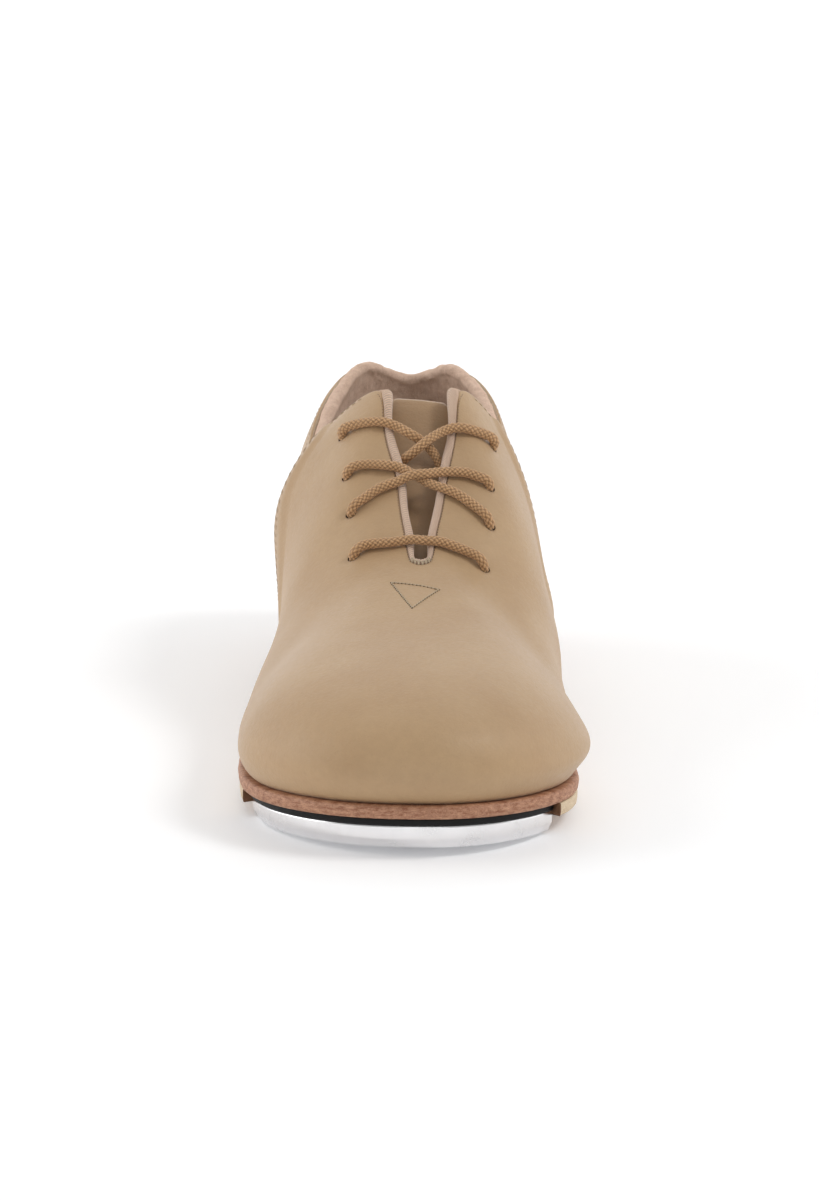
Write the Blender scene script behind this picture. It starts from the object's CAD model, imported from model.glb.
# Visual model of the tap shoe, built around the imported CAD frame. Metres in Blender; the form below works in millimetres.
import math

import bpy
import bmesh
import numpy as np
from mathutils import Vector, Matrix

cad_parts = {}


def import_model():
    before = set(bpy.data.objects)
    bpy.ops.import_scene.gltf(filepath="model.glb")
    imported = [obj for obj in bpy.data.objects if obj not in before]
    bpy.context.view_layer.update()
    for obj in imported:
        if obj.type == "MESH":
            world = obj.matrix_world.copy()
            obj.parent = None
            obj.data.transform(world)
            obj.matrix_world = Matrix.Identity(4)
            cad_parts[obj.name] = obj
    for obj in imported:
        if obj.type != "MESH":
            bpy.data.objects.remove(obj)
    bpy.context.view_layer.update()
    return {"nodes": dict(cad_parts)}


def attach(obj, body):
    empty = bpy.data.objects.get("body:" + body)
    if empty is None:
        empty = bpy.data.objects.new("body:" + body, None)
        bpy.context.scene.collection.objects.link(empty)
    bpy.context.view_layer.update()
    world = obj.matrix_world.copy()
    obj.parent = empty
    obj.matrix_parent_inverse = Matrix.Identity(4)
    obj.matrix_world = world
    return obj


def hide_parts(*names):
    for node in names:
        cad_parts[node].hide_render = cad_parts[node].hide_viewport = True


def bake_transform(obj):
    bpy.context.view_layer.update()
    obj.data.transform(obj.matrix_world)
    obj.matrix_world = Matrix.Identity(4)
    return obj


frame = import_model()


# ================= the form every piece follows (millimetres, y counted back from the toe tip) =================


def solve_tri(a, b, c, d):
    n = len(d)
    cp, dp = [0.0] * n, [0.0] * n
    cp[0], dp[0] = c[0] / b[0], d[0] / b[0]
    for i in range(1, n):
        m = b[i] - a[i] * cp[i - 1]
        cp[i] = c[i] / m if i < n - 1 else 0.0
        dp[i] = (d[i] - a[i] * dp[i - 1]) / m
    x = [0.0] * n
    x[-1] = dp[-1]
    for i in range(n - 2, -1, -1):
        x[i] = dp[i] - cp[i] * x[i + 1]
    return x


class Spline:
    """natural cubic spline through (t, value)"""

    def __init__(self, t, v):
        self.t, self.v = list(t), list(v)
        n = len(t)
        h = [t[i + 1] - t[i] for i in range(n - 1)]
        if n < 3:
            self.m = [0.0] * n
            self.h = h
            return
        a, b, c, d = [0.0] * n, [1.0] * n, [0.0] * n, [0.0] * n
        for i in range(1, n - 1):
            a[i], b[i], c[i] = h[i - 1], 2 * (h[i - 1] + h[i]), h[i]
            d[i] = 6 * ((v[i + 1] - v[i]) / h[i] - (v[i] - v[i - 1]) / h[i - 1])
        self.m = solve_tri(a, b, c, d)
        self.h = h

    def __call__(self, x):
        t, v, m = self.t, self.v, self.m
        if x <= t[0]:
            s = (v[1] - v[0]) / (t[1] - t[0]) - (t[1] - t[0]) * m[1] / 6
            return v[0] + s * (x - t[0]) if len(t) > 2 else v[0] + (v[1] - v[0]) / (t[1] - t[0]) * (x - t[0])
        if x >= t[-1]:
            hh = t[-1] - t[-2]
            s = (v[-1] - v[-2]) / hh + hh * m[-2] / 6
            return v[-1] + s * (x - t[-1])
        lo, hi = 0, len(t) - 1
        while hi - lo > 1:
            k = (lo + hi) // 2
            if t[k] <= x:
                lo = k
            else:
                hi = k
        h = t[lo + 1] - t[lo]
        p, q = (t[lo + 1] - x) / h, (x - t[lo]) / h
        return p * v[lo] + q * v[lo + 1] + ((p ** 3 - p) * m[lo] + (q ** 3 - q) * m[lo + 1]) * h * h / 6


class Ring:
    """periodic cubic spline through values at 0, 1, ... n-1, by wrapping several turns of a natural one"""

    def __init__(self, v):
        self.n = len(v)
        k = 8
        ext = v[-k:] + v + v[:k]
        self.s = Spline([i - k for i in range(len(ext))], ext)

    def __call__(self, x):
        return self.s(x % self.n)


def lerp(a, b, s):
    return tuple(p + (q - p) * s for p, q in zip(a, b))


Y0 = 222.0  # yt of the row frame's origin: the middle of the heel

Z_MB = Spline([-4, 0, 10, 20, 42, 60, 80, 95, 110, 130, 150, 170, 190, 210, 225, 252],
              [11.3, 10.8, 9.8, 8.9, 7.3, 6.3, 5.9, 6.6, 8.5, 12.3, 16.7, 20.6, 23.3, 24.7, 25.0, 25.0])
MID_T = 3.6


def z_mt(y):
    return Z_MB(y) + MID_T


Z_CAP = Spline([-6, 0, 20, 40, 60, 80, 95, 106.5, 119, 129, 142, 156, 168.5],
               [46.3, 46.5, 46.9, 46.8, 46.6, 47.6, 50.1, 53.2, 59.0, 64.4, 72.0, 80.4, 88.0])

# each column: welt outline point, widest outline point, top-edge point (x, yt, z or None = on the cap), dome exponent or None, bulge of a wall
COLS = [
    ((4.5, 0.0), (4.5, -1.2), (3.0, 106.5, None), 2.6, 0),
    ((-11.0, 2.3), (-11.5, 1.2), (1.7, 106.9, None), 2.5, 0),
    ((-25.0, 9.8), (-25.7, 8.8), (0.8, 107.8, None), 2.38, 0),
    ((-36.5, 22.5), (-37.0, 21.8), (0.3, 109.3, None), 2.2, 0),
    ((-43.2, 39.0), (-43.7, 38.5), (-0.2, 112.8, None), 1.9, 0),
    ((-45.2, 60.0), (-45.0, 60.0), (-1.0, 119.5, None), 1.68, 0),
    ((-44.3, 82.0), (-44.1, 82.0), (-2.2, 129.0, None), 1.66, 0),
    ((-40.9, 104.0), (-40.7, 104.0), (-3.7, 142.0, None), 1.7, 0),
    ((-36.8, 126.0), (-36.8, 126.0), (-6.4, 156.0, None), 1.88, 0),
    ((-34.0, 148.0), (-34.9, 148.0), (-9.0, 168.5, None), None, 8.6),
    ((-32.0, 170.0), (-35.6, 170.0), (-22.3, 178.5, 76.0), None, 6.6),
    ((-31.0, 192.0), (-34.5, 192.0), (-28.2, 190.0, 67.6), None, 3.0),
    ((-30.0, 212.0), (-32.5, 212.0), (-26.5, 206.0, 72.8), None, 3.0),
    ((-25.5, 234.0), (-27.0, 234.0), (-21.6, 225.0, 78.4), None, 3.5),
    ((-13.5, 247.0), (-14.5, 249.0), (-13.2, 238.5, 80.2), None, 3.5),
    ((0.0, 250.0), (0.0, 252.5), (0.0, 244.5, 75.6), None, 3.5),
    ((13.5, 247.0), (14.5, 249.0), (12.6, 238.5, 79.4), None, 3.5),
    ((25.5, 234.0), (27.0, 234.0), (20.8, 225.0, 78.4), None, 3.5),
    ((29.5, 212.0), (31.7, 212.0), (25.6, 206.0, 73.2), None, 2.0),
    ((29.0, 192.0), (33.0, 192.0), (26.4, 190.0, 69.0), None, 2.2),
    ((27.5, 170.0), (34.5, 170.0), (23.8, 178.5, 77.0), None, 3.8),
    ((27.0, 148.0), (37.4, 148.0), (14.7, 168.5, None), None, 6.0),
    ((30.5, 126.0), (40.3, 126.0), (12.4, 156.0, None), 1.95, 0),
    ((37.5, 104.0), (41.0, 104.0), (10.4, 142.0, None), 1.9, 0),
    ((41.6, 82.0), (43.6, 82.0), (8.6, 129.0, None), 1.64, 0),
    ((43.8, 60.0), (46.8, 60.0), (7.0, 119.5, None), 1.44, 0),
    ((43.8, 39.0), (46.2, 39.0), (6.2, 112.8, None), 1.58, 0),
    ((37.5, 21.0), (39.0, 20.5), (5.7, 109.3, None), 2.0, 0),
    ((27.0, 8.5), (28.0, 7.3), (5.2, 107.8, None), 2.35, 0),
    ((16.0, 2.0), (16.5, 0.8), (4.3, 106.9, None), 2.5, 0),
]
N = len(COLS)
PHI = [0.0, 14.0, 28.0, 43.0, 58.0, 74.0, 90.0]  # rows from the widest line to the top edge


def inward(pts, j):
    """unit normal pointing into a closed outline that runs toe, lateral, heel, medial"""
    n = len(pts)
    a, b = pts[(j - 1) % n], pts[(j + 1) % n]
    tx, ty = b[0] - a[0], b[1] - a[1]
    l = math.hypot(tx, ty)
    return (ty / l, -tx / l)


def build_rows():
    welt = [c[0] for c in COLS]
    wide = [c[1] for c in COLS]
    rows = [[] for _ in range(3 + len(PHI))]
    for j, (w, a, t, p, bulge) in enumerate(COLS):
        nx, ny = inward(welt, j)
        mx, my = inward(wide, j)
        zt = t[2] if t[2] is not None else Z_CAP(t[1])
        top = (t[0], t[1], zt)
        f0 = (w[0] + nx * 13, w[1] + ny * 13)
        f1 = (w[0] + nx * 2.2, w[1] + ny * 2.2)
        f2 = (w[0] + nx * 0.6, w[1] + ny * 0.6)
        rows[0].append((f0[0], f0[1], z_mt(f0[1]) + 0.3))
        rows[1].append((f1[0], f1[1], z_mt(f1[1]) + 0.45))
        rows[2].append((f2[0], f2[1], z_mt(f2[1]) + 2.4))
        ze = z_mt(a[1]) + (7.0 if p else 9.0)
        for k, ph in enumerate(PHI):
            if p:
                c, s = math.cos(math.radians(ph)), math.sin(math.radians(ph))
                c = max(c, 0.0) ** (2 / p) if ph < 90 else 0.0
                s = max(s, 0.0) ** (2 / p)
                x, y = t[0] + (a[0] - t[0]) * c, t[1] + (a[1] - t[1]) * c
                zeq = ze
                cap = Z_CAP(y)
                rows[3 + k].append((x, y, zeq + (cap - zeq) * s))
            else:
                s = k / (len(PHI) - 1.0)
                q = lerp((a[0], a[1], ze), top, s)
                bb = bulge * 4 * s * (1 - s)
                rows[3 + k].append((q[0] - mx * bb, q[1] - my * bb, q[2]))
    return rows


ROWS = build_rows()
RS = [tuple(Ring([p[i] for p in r]) for i in range(3)) for r in ROWS]
MARGIN_V, FEATHER_V = 0.0, 1.0


def column(u):
    """the key points of the column at u (0..N)"""
    return [tuple(s(u) for s in r) for r in RS]


def chord(pts):
    t = [0.0]
    for a, b in zip(pts, pts[1:]):
        t.append(t[-1] + max(math.dist(a, b) ** 0.75, 1e-6))
    return t


class Col:
    def __init__(self, u):
        pts = column(u)
        self.pts = pts
        t = chord(pts)
        self.t = t
        self.s = [Spline(t, [p[i] for p in pts]) for i in range(3)]

    def at(self, k):
        """k runs 0..len(rows)-1 over the rows"""
        k = min(max(k, 0.0), len(self.t) - 1.0)
        i = min(int(k), len(self.t) - 2)
        x = self.t[i] + (k - i) * (self.t[i + 1] - self.t[i])
        return tuple(s(x) for s in self.s)


_cc = {}


def S(u, k):
    u = round(u % N, 6)
    if u not in _cc:
        _cc[u] = Col(u)
    return _cc[u].at(k)


K_TOP = len(ROWS) - 1.0


def normal(u, k, e=0.02):
    k = min(max(k, e), K_TOP - e)
    a, b = S(u - e, k), S(u + e, k)
    c, d = S(u, k - e), S(u, k + e)
    p = [b[i] - a[i] for i in range(3)]
    q = [d[i] - c[i] for i in range(3)]
    n = (p[1] * q[2] - p[2] * q[1], p[2] * q[0] - p[0] * q[2], p[0] * q[1] - p[1] * q[0])
    l = math.sqrt(sum(x * x for x in n)) or 1.0
    return tuple(x / l for x in n)


# direction in which each row point moves towards the inside of the shoe, per millimetre of depth
def build_dirs():
    out = [[] for _ in ROWS]
    welt = [c[0] for c in COLS]
    for j in range(N):
        nx, ny = inward(welt, j)
        out[0].append((0.0, 0.0, 1.0))
        out[1].append((nx * 0.9, ny * 0.9, 1.0))
        out[2].append((nx, ny, 0.9))
        for k in range(3, len(ROWS)):
            out[k].append(normal(j, float(k)))
    return out


_DR = [tuple(Ring([p[i] for p in r]) for i in range(3)) for r in build_dirs()]
_dc = {}


def P(u, k, d=0.0):
    """point at depth d below the outer face of the leather (negative d is outside); k may pass the top edge by a little"""
    u = round(u % N, 6)
    if u not in _cc:
        _cc[u] = Col(u)
    col = _cc[u]
    last = len(col.t) - 1
    i = min(max(int(k), 0), last - 1)
    x = col.t[i] + (k - i) * (col.t[i + 1] - col.t[i])
    p = tuple(s(x) for s in col.s)
    if d == 0.0:
        return p
    if u not in _dc:
        pts = [tuple(s(u) for s in r) for r in _DR]
        _dc[u] = [Spline(col.t, [q[i] for q in pts]) for i in range(3)]
    m = tuple(s(min(x, col.t[-1])) for s in _dc[u])
    return tuple(a + d * b for a, b in zip(p, m))


WX = Ring([c[0][0] for c in COLS])
WY = Ring([c[0][1] for c in COLS])


def outline(u, inset=0.0):
    """plan outline of the welt edge, moved inwards by inset"""
    e = 0.05
    tx, ty = WX(u + e) - WX(u - e), WY(u + e) - WY(u - e)
    l = math.hypot(tx, ty)
    return (WX(u) + ty / l * inset, WY(u) - tx / l * inset)


# ---- features of the upper, in the surface's own coordinates
SEAM = Spline([0, 2, 3, 4, 5.6, 7, 9], [8.8, 9.0, 9.3, 9.75, 10.35, 10.5, 10.6])  # side seam of the front piece
HOLES_L = [(8.85, 7.78), (7.93, 7.57), (7.10, 7.56), (6.00, 7.59)]   # lace holes, outer side, from the top
HOLES_M = [(-8.66, 7.60), (-7.65, 7.64), (-6.93, 7.51), (-5.85, 7.45)]  # inner side
TACK = [(2.78, 8.53), (-1.56, 8.53), (0.53, 8.28)]                  # triangular tack under the slit


def add(a, b, s=1.0):
    return tuple(p + q * s for p, q in zip(a, b))


def sub(a, b):
    return tuple(p - q for p, q in zip(a, b))


def unit(a):
    l = math.sqrt(sum(x * x for x in a)) or 1.0
    return tuple(x / l for x in a)


def top_dir(u, d=0.0):
    """unit direction past the top edge, in the leather's surface"""
    return unit(sub(P(u, 9.0, d), P(u, 8.8, d)))


def smooth(x, a, b):
    s = min(max((x - a) / (b - a), 0.0), 1.0)
    return s * s * (3 - 2 * s)


def foam_depth(u, k):
    """depth of the inner face of the collar foam"""
    u = u % N
    s = min(max((k - 6.2) / (9.15 - 6.2), 0.0), 1.0)
    e = smooth(u, 9.7, 11.2) * (1 - smooth(u, 18.8, 20.3))
    return 2.65 + 3.0 * e * math.sin(math.pi * s) ** 2


def k_at(u, dist):
    """k on the column at u that lies dist below the top edge"""
    top = P(u, 9.0)
    lo, hi = 4.0, 9.0
    for _ in range(30):
        mid = (lo + hi) / 2
        if math.dist(P(u, mid), top) > dist:
            lo = mid
        else:
            hi = mid
    return (lo + hi) / 2


_tg = {}
TONGUE_END = 8.8   # past this the tongue carries on straight, above the slit


def tongue_row(u, d):
    key = (round(u, 5), d)
    if key not in _tg:
        half = 12.5 + 2.0 * (u - 4.2) / 4.8
        kl, km = k_at(u, half), k_at(-u, half)
        a, b = P(u, 9.0, d), P(-u, 9.0, d)
        mid = tuple((p + q) / 2 for p, q in zip(a, b))
        mid = (mid[0], mid[1], mid[2] + 0.05 * math.dist(a, b))
        pts = [P(u, kl, d), P(u, (kl + 9) / 2, d), a, mid, b, P(-u, (km + 9) / 2, d), P(-u, km, d)]
        t = [0.0]
        for a, b in zip(pts, pts[1:]):
            t.append(t[-1] + math.dist(a, b))
        _tg[key] = (t[-1], [Spline(t, [p[i] for p in pts]) for i in range(3)])
    return _tg[key]


def tongue_point(u, w, d):
    """across the slit: w runs -1 (outer edge of the tongue) .. 1 (inner edge), u 4.2 (root) .. 9.2 (top)"""
    if u > TONGUE_END:
        a, b = tongue_point(TONGUE_END - 0.25, w, d), tongue_point(TONGUE_END, w, d)
        return add(b, sub(b, a), (u - TONGUE_END) / 0.25)
    L, s = tongue_row(u, d)
    x = (w + 1) / 2 * L
    return tuple(q(x) for q in s)


LACE_R = 1.35
LACE_OUT = -1.56    # depth of the lace's centre on the outside
LACE_IN = 5.15     # and on the inside, under the facings


def towards(a, b, dist, d):
    """point at depth d, about dist from surface point a towards surface point b"""
    pa, pb = P(*a), P(*b)
    s = min(dist / math.dist(pa, pb), 1.0)
    return P(a[0] + (b[0] - a[0]) * s, a[1] + (b[1] - a[1]) * s, d)


def through(hole, outer, inner, inwards):
    """points through a lace hole; outer and inner are surface points the lace runs to on each side"""
    pts = [towards(hole, outer, 4.6, LACE_OUT - 0.05), towards(hole, outer, 2.0, LACE_OUT - 0.1), towards(hole, outer, 0.45, -0.35),
           P(hole[0], hole[1], 1.5), towards(hole, inner, 0.35, 3.5), towards(hole, inner, 1.9, LACE_IN), towards(hole, inner, 4.6, LACE_IN + 0.1)]
    return pts if inwards else pts[::-1]


def lace_points():
    """the whole lace as one list: outer-side end, under the inner facing, L1 .. crossings .. M1, end down the tongue"""
    L, M = HOLES_L, HOLES_M
    out = lambda u, k, lift=0.0: P(u, k, LACE_OUT - lift)
    path = [P(-4.7, 8.55, LACE_IN), P(-5.4, 8.62, LACE_IN), P(-6.1, 8.70, LACE_IN), P(-6.7, 8.80, LACE_IN - 0.3),
            (8.6, 147.6, 70.6), (5.7, 151.7, 74.8), (2.9, 151.9, 77.3), (0.1, 152.1, 79.0), (-3.3, 154.1, 80.5), out(8.12, 8.82)]
    path += through(L[0], (8.49, 8.29), L[1], True)
    path += through(L[1], (7.64, 8.10), L[0], False)
    path += [out(7.33, 8.51), out(6.98, 8.91), (-2.1, 139.4, 72.0), (0.4, 137.5, 71.1), (2.6, 136.8, 70.1), (5.6, 134.6, 68.8), out(-6.35, 8.96), out(-6.59, 8.50)]
    path += through(M[2], (-6.77, 8.04), M[3], True)
    path += through(M[3], (-5.37, 8.13), M[2], False)
    path += [out(-4.60, 8.75), (5.0, 112.9, 57.8), (2.3, 113.0, 58.0), (0.1, 113.3, 58.0), out(4.85, 8.66)]
    path += through(L[3], (5.55, 8.19), L[2], True)
    path += through(L[2], (6.87, 8.15), L[3], False)
    path += [out(6.74, 8.53, 0.2), (-3.4, 134.2, 69.4), (-1.2, 134.5, 70.5), (1.4, 134.6, 71.3), (4.2, 135.0, 71.5), (7.8, 136.7, 71.5), out(-7.18, 8.48, 0.1)]
    path += through(M[1], (-7.44, 8.03), M[0], True)
    path += through(M[0], (-8.47, 7.96), M[1], False)
    path += [out(-8.16, 8.51), out(-7.89, 8.96, 0.3), (8.4, 151.5, 79.4), (4.3, 147.9, 77.7), (1.9, 147.2, 75.4), (0.5, 145.8, 72.6), (0.7, 142.4, 69.0),
             (1.2, 136.0, 65.0), (2.4, 127.0, 59.8), (3.1, 120.0, 55.6)]
    return path



# ---- the same form, for whole arrays of points
def _ring_tables(rows):
    v = np.array([[s.s.v for s in r] for r in rows])
    m = np.array([[s.s.m for s in r] for r in rows])
    return v, m


_SV, _SM = _ring_tables(RS)
_DV, _DM = _ring_tables(_DR)


def _ring_eval(v, m, u):
    x = np.mod(u, N)
    i = np.floor(x).astype(int)
    q = x - i
    p = 1 - q
    i = i + 8
    a, b = v[:, :, i], v[:, :, i + 1]
    c, d = m[:, :, i], m[:, :, i + 1]
    return (p * a + q * b + ((p ** 3 - p) * c + (q ** 3 - q) * d) / 6).transpose(2, 0, 1)


def _second(t, y):
    n, k, c = y.shape
    h = np.diff(t, axis=1)
    a = np.zeros((n, k)); b = np.ones((n, k)); cc = np.zeros((n, k)); d = np.zeros((n, k, c))
    a[:, 1:-1] = h[:, :-1]
    b[:, 1:-1] = 2 * (h[:, :-1] + h[:, 1:])
    cc[:, 1:-1] = h[:, 1:]
    sl = np.diff(y, axis=1) / h[:, :, None]
    d[:, 1:-1] = 6 * (sl[:, 1:] - sl[:, :-1])
    cp = np.zeros((n, k)); dp = np.zeros((n, k, c))
    cp[:, 0] = cc[:, 0] / b[:, 0]
    dp[:, 0] = d[:, 0] / b[:, 0, None]
    for i in range(1, k):
        m = b[:, i] - a[:, i] * cp[:, i - 1]
        cp[:, i] = cc[:, i] / m
        dp[:, i] = (d[:, i] - a[:, i, None] * dp[:, i - 1]) / m[:, None]
    out = np.zeros((n, k, c))
    out[:, -1] = dp[:, -1]
    for i in range(k - 2, -1, -1):
        out[:, i] = dp[:, i] - cp[:, i, None] * out[:, i + 1]
    return out


def _spline_eval(t, y, m, x, clamp=False):
    n, k = t.shape
    if clamp:
        x = np.minimum(x, t[:, -1])
    i = np.clip((x[:, None] >= t).sum(1) - 1, 0, k - 2)
    r = np.arange(n)
    h = t[r, i + 1] - t[r, i]
    q = (x - t[r, i]) / h
    over = q > 1
    qq = np.minimum(q, 1.0)
    p = 1 - qq
    ya, yb, ma, mb = y[r, i], y[r, i + 1], m[r, i], m[r, i + 1]
    val = p[:, None] * ya + qq[:, None] * yb + ((p ** 3 - p)[:, None] * ma + (qq ** 3 - qq)[:, None] * mb) * (h * h / 6)[:, None]
    slope = (yb - ya) / h[:, None] + h[:, None] * (ma / 6 + mb / 3)
    return np.where(over[:, None], yb + slope * ((q - 1) * h)[:, None], val)


def PN(u, k, d=0.0):
    """form points for arrays u, k, d (any one shape); returns shape + (3,) in form millimetres"""
    u, k, d = np.broadcast_arrays(np.asarray(u, float), np.asarray(k, float), np.asarray(d, float))
    shape = u.shape
    u, k, d = u.ravel(), k.ravel(), d.ravel()
    out = np.zeros((len(u), 3))
    for s in range(0, len(u), 40000):
        uu, kk, dd = u[s:s + 40000], k[s:s + 40000], d[s:s + 40000]
        y = _ring_eval(_SV, _SM, uu)
        t = np.concatenate([np.zeros((len(uu), 1)), np.cumsum(np.maximum(np.linalg.norm(np.diff(y, axis=1), axis=2) ** 0.75, 1e-6), axis=1)], axis=1)
        last = t.shape[1] - 1
        i = np.clip(kk.astype(int), 0, last - 1)
        r = np.arange(len(uu))
        x = t[r, i] + (kk - i) * (t[r, i + 1] - t[r, i])
        p = _spline_eval(t, y, _second(t, y), x)
        if np.any(dd != 0):
            z = _ring_eval(_DV, _DM, uu)
            p = p + dd[:, None] * _spline_eval(t, z, _second(t, z), x, clamp=True)
        out[s:s + 40000] = p
    return out.reshape(shape + (3,))


def spl(s, x):
    """a Spline evaluated on an array"""
    x = np.asarray(x, float)
    return np.array([s(float(v)) for v in x.ravel()]).reshape(x.shape)


def world(p):
    """form millimetres to the row frame in metres"""
    q = np.array(p, float).copy()
    q[..., 1] -= Y0
    return q / 1000.0




# ================= mesh helpers =================
def mesh_piece(name, verts, faces, mats, face_mat=None, suv=None, hgt=None, recalc=True):
    """mesh object from form-millimetre vertices; suv is a per-vertex (along, across, 0) in millimetres"""
    me = bpy.data.meshes.new(name)
    v = world(np.asarray(verts, float))
    me.from_pydata([tuple(p) for p in v], [], [tuple(int(i) for i in f) for f in faces])
    me.update()
    for m in mats:
        me.materials.append(m)
    if face_mat is not None:
        me.polygons.foreach_set("material_index", np.asarray(face_mat, np.int32))
    if suv is not None:
        a = me.attributes.new("suv", "FLOAT_VECTOR", "POINT")
        s = np.zeros((len(v), 3), np.float32)
        q = np.asarray(suv, np.float32).reshape(len(v), -1)
        s[:, :q.shape[1]] = q
        a.data.foreach_set("vector", s.ravel())
    if hgt is not None:
        a = me.attributes.new("hgt", "FLOAT", "POINT")
        a.data.foreach_set("value", np.asarray(hgt, np.float32).ravel())
    me.polygons.foreach_set("use_smooth", np.ones(len(me.polygons), bool))
    ob = bpy.data.objects.new(name, me)
    bpy.context.scene.collection.objects.link(ob)
    if recalc:
        bm = bmesh.new()
        bm.from_mesh(me)
        bmesh.ops.recalc_face_normals(bm, faces=bm.faces)
        bm.to_mesh(me)
        bm.free()
    return ob


def grid_quads(ni, nj, base=0, flip=False, wrap_i=False, wrap_j=False):
    i = np.arange(ni if wrap_i else ni - 1)
    j = np.arange(nj if wrap_j else nj - 1)
    ii, jj = np.meshgrid(i, j, indexing="ij")
    i2, j2 = (ii + 1) % ni, (jj + 1) % nj
    q = np.stack([ii * nj + jj, ii * nj + j2, i2 * nj + j2, i2 * nj + jj], axis=-1).reshape(-1, 4) + base
    return q[:, ::-1] if flip else q


def shell_arrays(outer, inner):
    """closed shell between two (ni, nj, 3) grids; returns verts, faces, face kinds (0 outer, 1 inner, 2 edge)"""
    ni, nj = outer.shape[:2]
    n = ni * nj
    verts = np.concatenate([outer.reshape(-1, 3), inner.reshape(-1, 3)])
    f = [grid_quads(ni, nj), grid_quads(ni, nj, base=n, flip=True)]
    kinds = [np.zeros(len(f[0]), int), np.ones(len(f[1]), int)]
    loop = [i * nj for i in range(ni)] + [(ni - 1) * nj + j for j in range(1, nj)] + [i * nj + nj - 1 for i in range(ni - 2, -1, -1)] + [j for j in range(nj - 2, 0, -1)]
    loop = np.array(loop)
    nxt = np.roll(loop, -1)
    side = np.stack([loop, nxt, nxt + n, loop + n], axis=1)
    f.append(side)
    kinds.append(np.full(len(side), 2))
    return verts, np.concatenate(f), np.concatenate(kinds)


def even_k(u, k0, k1, n):
    """(len(u), n) values of k from k0 to k1 evenly spaced by length on each column"""
    m = 90
    k0 = np.broadcast_to(np.asarray(k0, float), u.shape)
    k1 = np.broadcast_to(np.asarray(k1, float), u.shape)
    ks = k0[:, None] + (k1 - k0)[:, None] * np.linspace(0, 1, m)[None]
    p = PN(np.repeat(u[:, None], m, 1), ks)
    run = np.concatenate([np.zeros((len(u), 1)), np.cumsum(np.linalg.norm(np.diff(p, axis=1), axis=2), axis=1)], axis=1)
    out = np.empty((len(u), n))
    for i in range(len(u)):
        out[i] = np.interp(np.linspace(0, run[i, -1], n), run[i], ks[i])
    return out


def row_dist(p, axis):
    """running length along an axis of a grid of points"""
    d = np.linalg.norm(np.diff(p, axis=axis), axis=2)
    z = np.zeros_like(np.take(d, [0], axis=axis))
    return np.concatenate([z, np.cumsum(d, axis=axis)], axis=axis)


def sstep(x, a, b):
    s = np.clip((np.asarray(x, float) - a) / (b - a), 0, 1)
    return s * s * (3 - 2 * s)


def vnoise(p, scale, seed=0):
    """smooth value noise at points p (n,3), wavelength scale; -1..1"""
    q = np.asarray(p, float) / scale
    i = np.floor(q).astype(np.int64)
    f = q - i
    f = f * f * (3 - 2 * f)

    def h(ix, iy, iz):
        x = (ix * 374761393 + iy * 668265263 + iz * 2147483647 + seed * 974711) & 0xFFFFFFFF
        x = ((x ^ (x >> 13)) * 1274126177) & 0xFFFFFFFF
        x = (x ^ (x >> 16)) & 0xFFFFFFFF
        return x / 2147483647.5 - 1.0

    r = 0
    for dx in (0, 1):
        for dy in (0, 1):
            for dz in (0, 1):
                w = (f[..., 0] if dx else 1 - f[..., 0]) * (f[..., 1] if dy else 1 - f[..., 1]) * (f[..., 2] if dz else 1 - f[..., 2])
                r = r + w * h(i[..., 0] + dx, i[..., 1] + dy, i[..., 2] + dz)
    return r


def frames(pts):
    """tangent and two normals along a polyline, carried without twist"""
    pts = np.asarray(pts, float)
    t = np.gradient(pts, axis=0)
    t /= np.linalg.norm(t, axis=1)[:, None]
    a = np.zeros_like(t)
    ref = np.array([0, 0, 1.0]) if abs(t[0, 2]) < 0.9 else np.array([1.0, 0, 0])
    for i in range(len(t)):
        ref = ref - t[i] * ref.dot(t[i])
        ref /= np.linalg.norm(ref)
        a[i] = ref
    return t, a, np.cross(t, a)


def resample(pts, step):
    pts = np.asarray(pts, float)
    L = np.concatenate([[0], np.cumsum(np.linalg.norm(np.diff(pts, axis=0), axis=1))])
    n = max(int(round(L[-1] / step)), 2)
    s = np.linspace(0, L[-1], n + 1)
    return np.stack([np.interp(s, L, pts[:, i]) for i in range(3)], axis=1), s


def smooth_path(pts, per=14):
    """cubic through the points, dense"""
    pts = [tuple(map(float, p)) for p in pts]
    t = [0.0]
    for a, b in zip(pts, pts[1:]):
        t.append(t[-1] + max(math.dist(a, b) ** 0.5, 1e-3))
    s = [Spline(t, [p[i] for p in pts]) for i in range(3)]
    xs = np.concatenate([np.linspace(a, b, per, endpoint=False) for a, b in zip(t, t[1:])] + [[t[-1]]])
    return np.array([[q(float(x)) for q in s] for x in xs])


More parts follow.
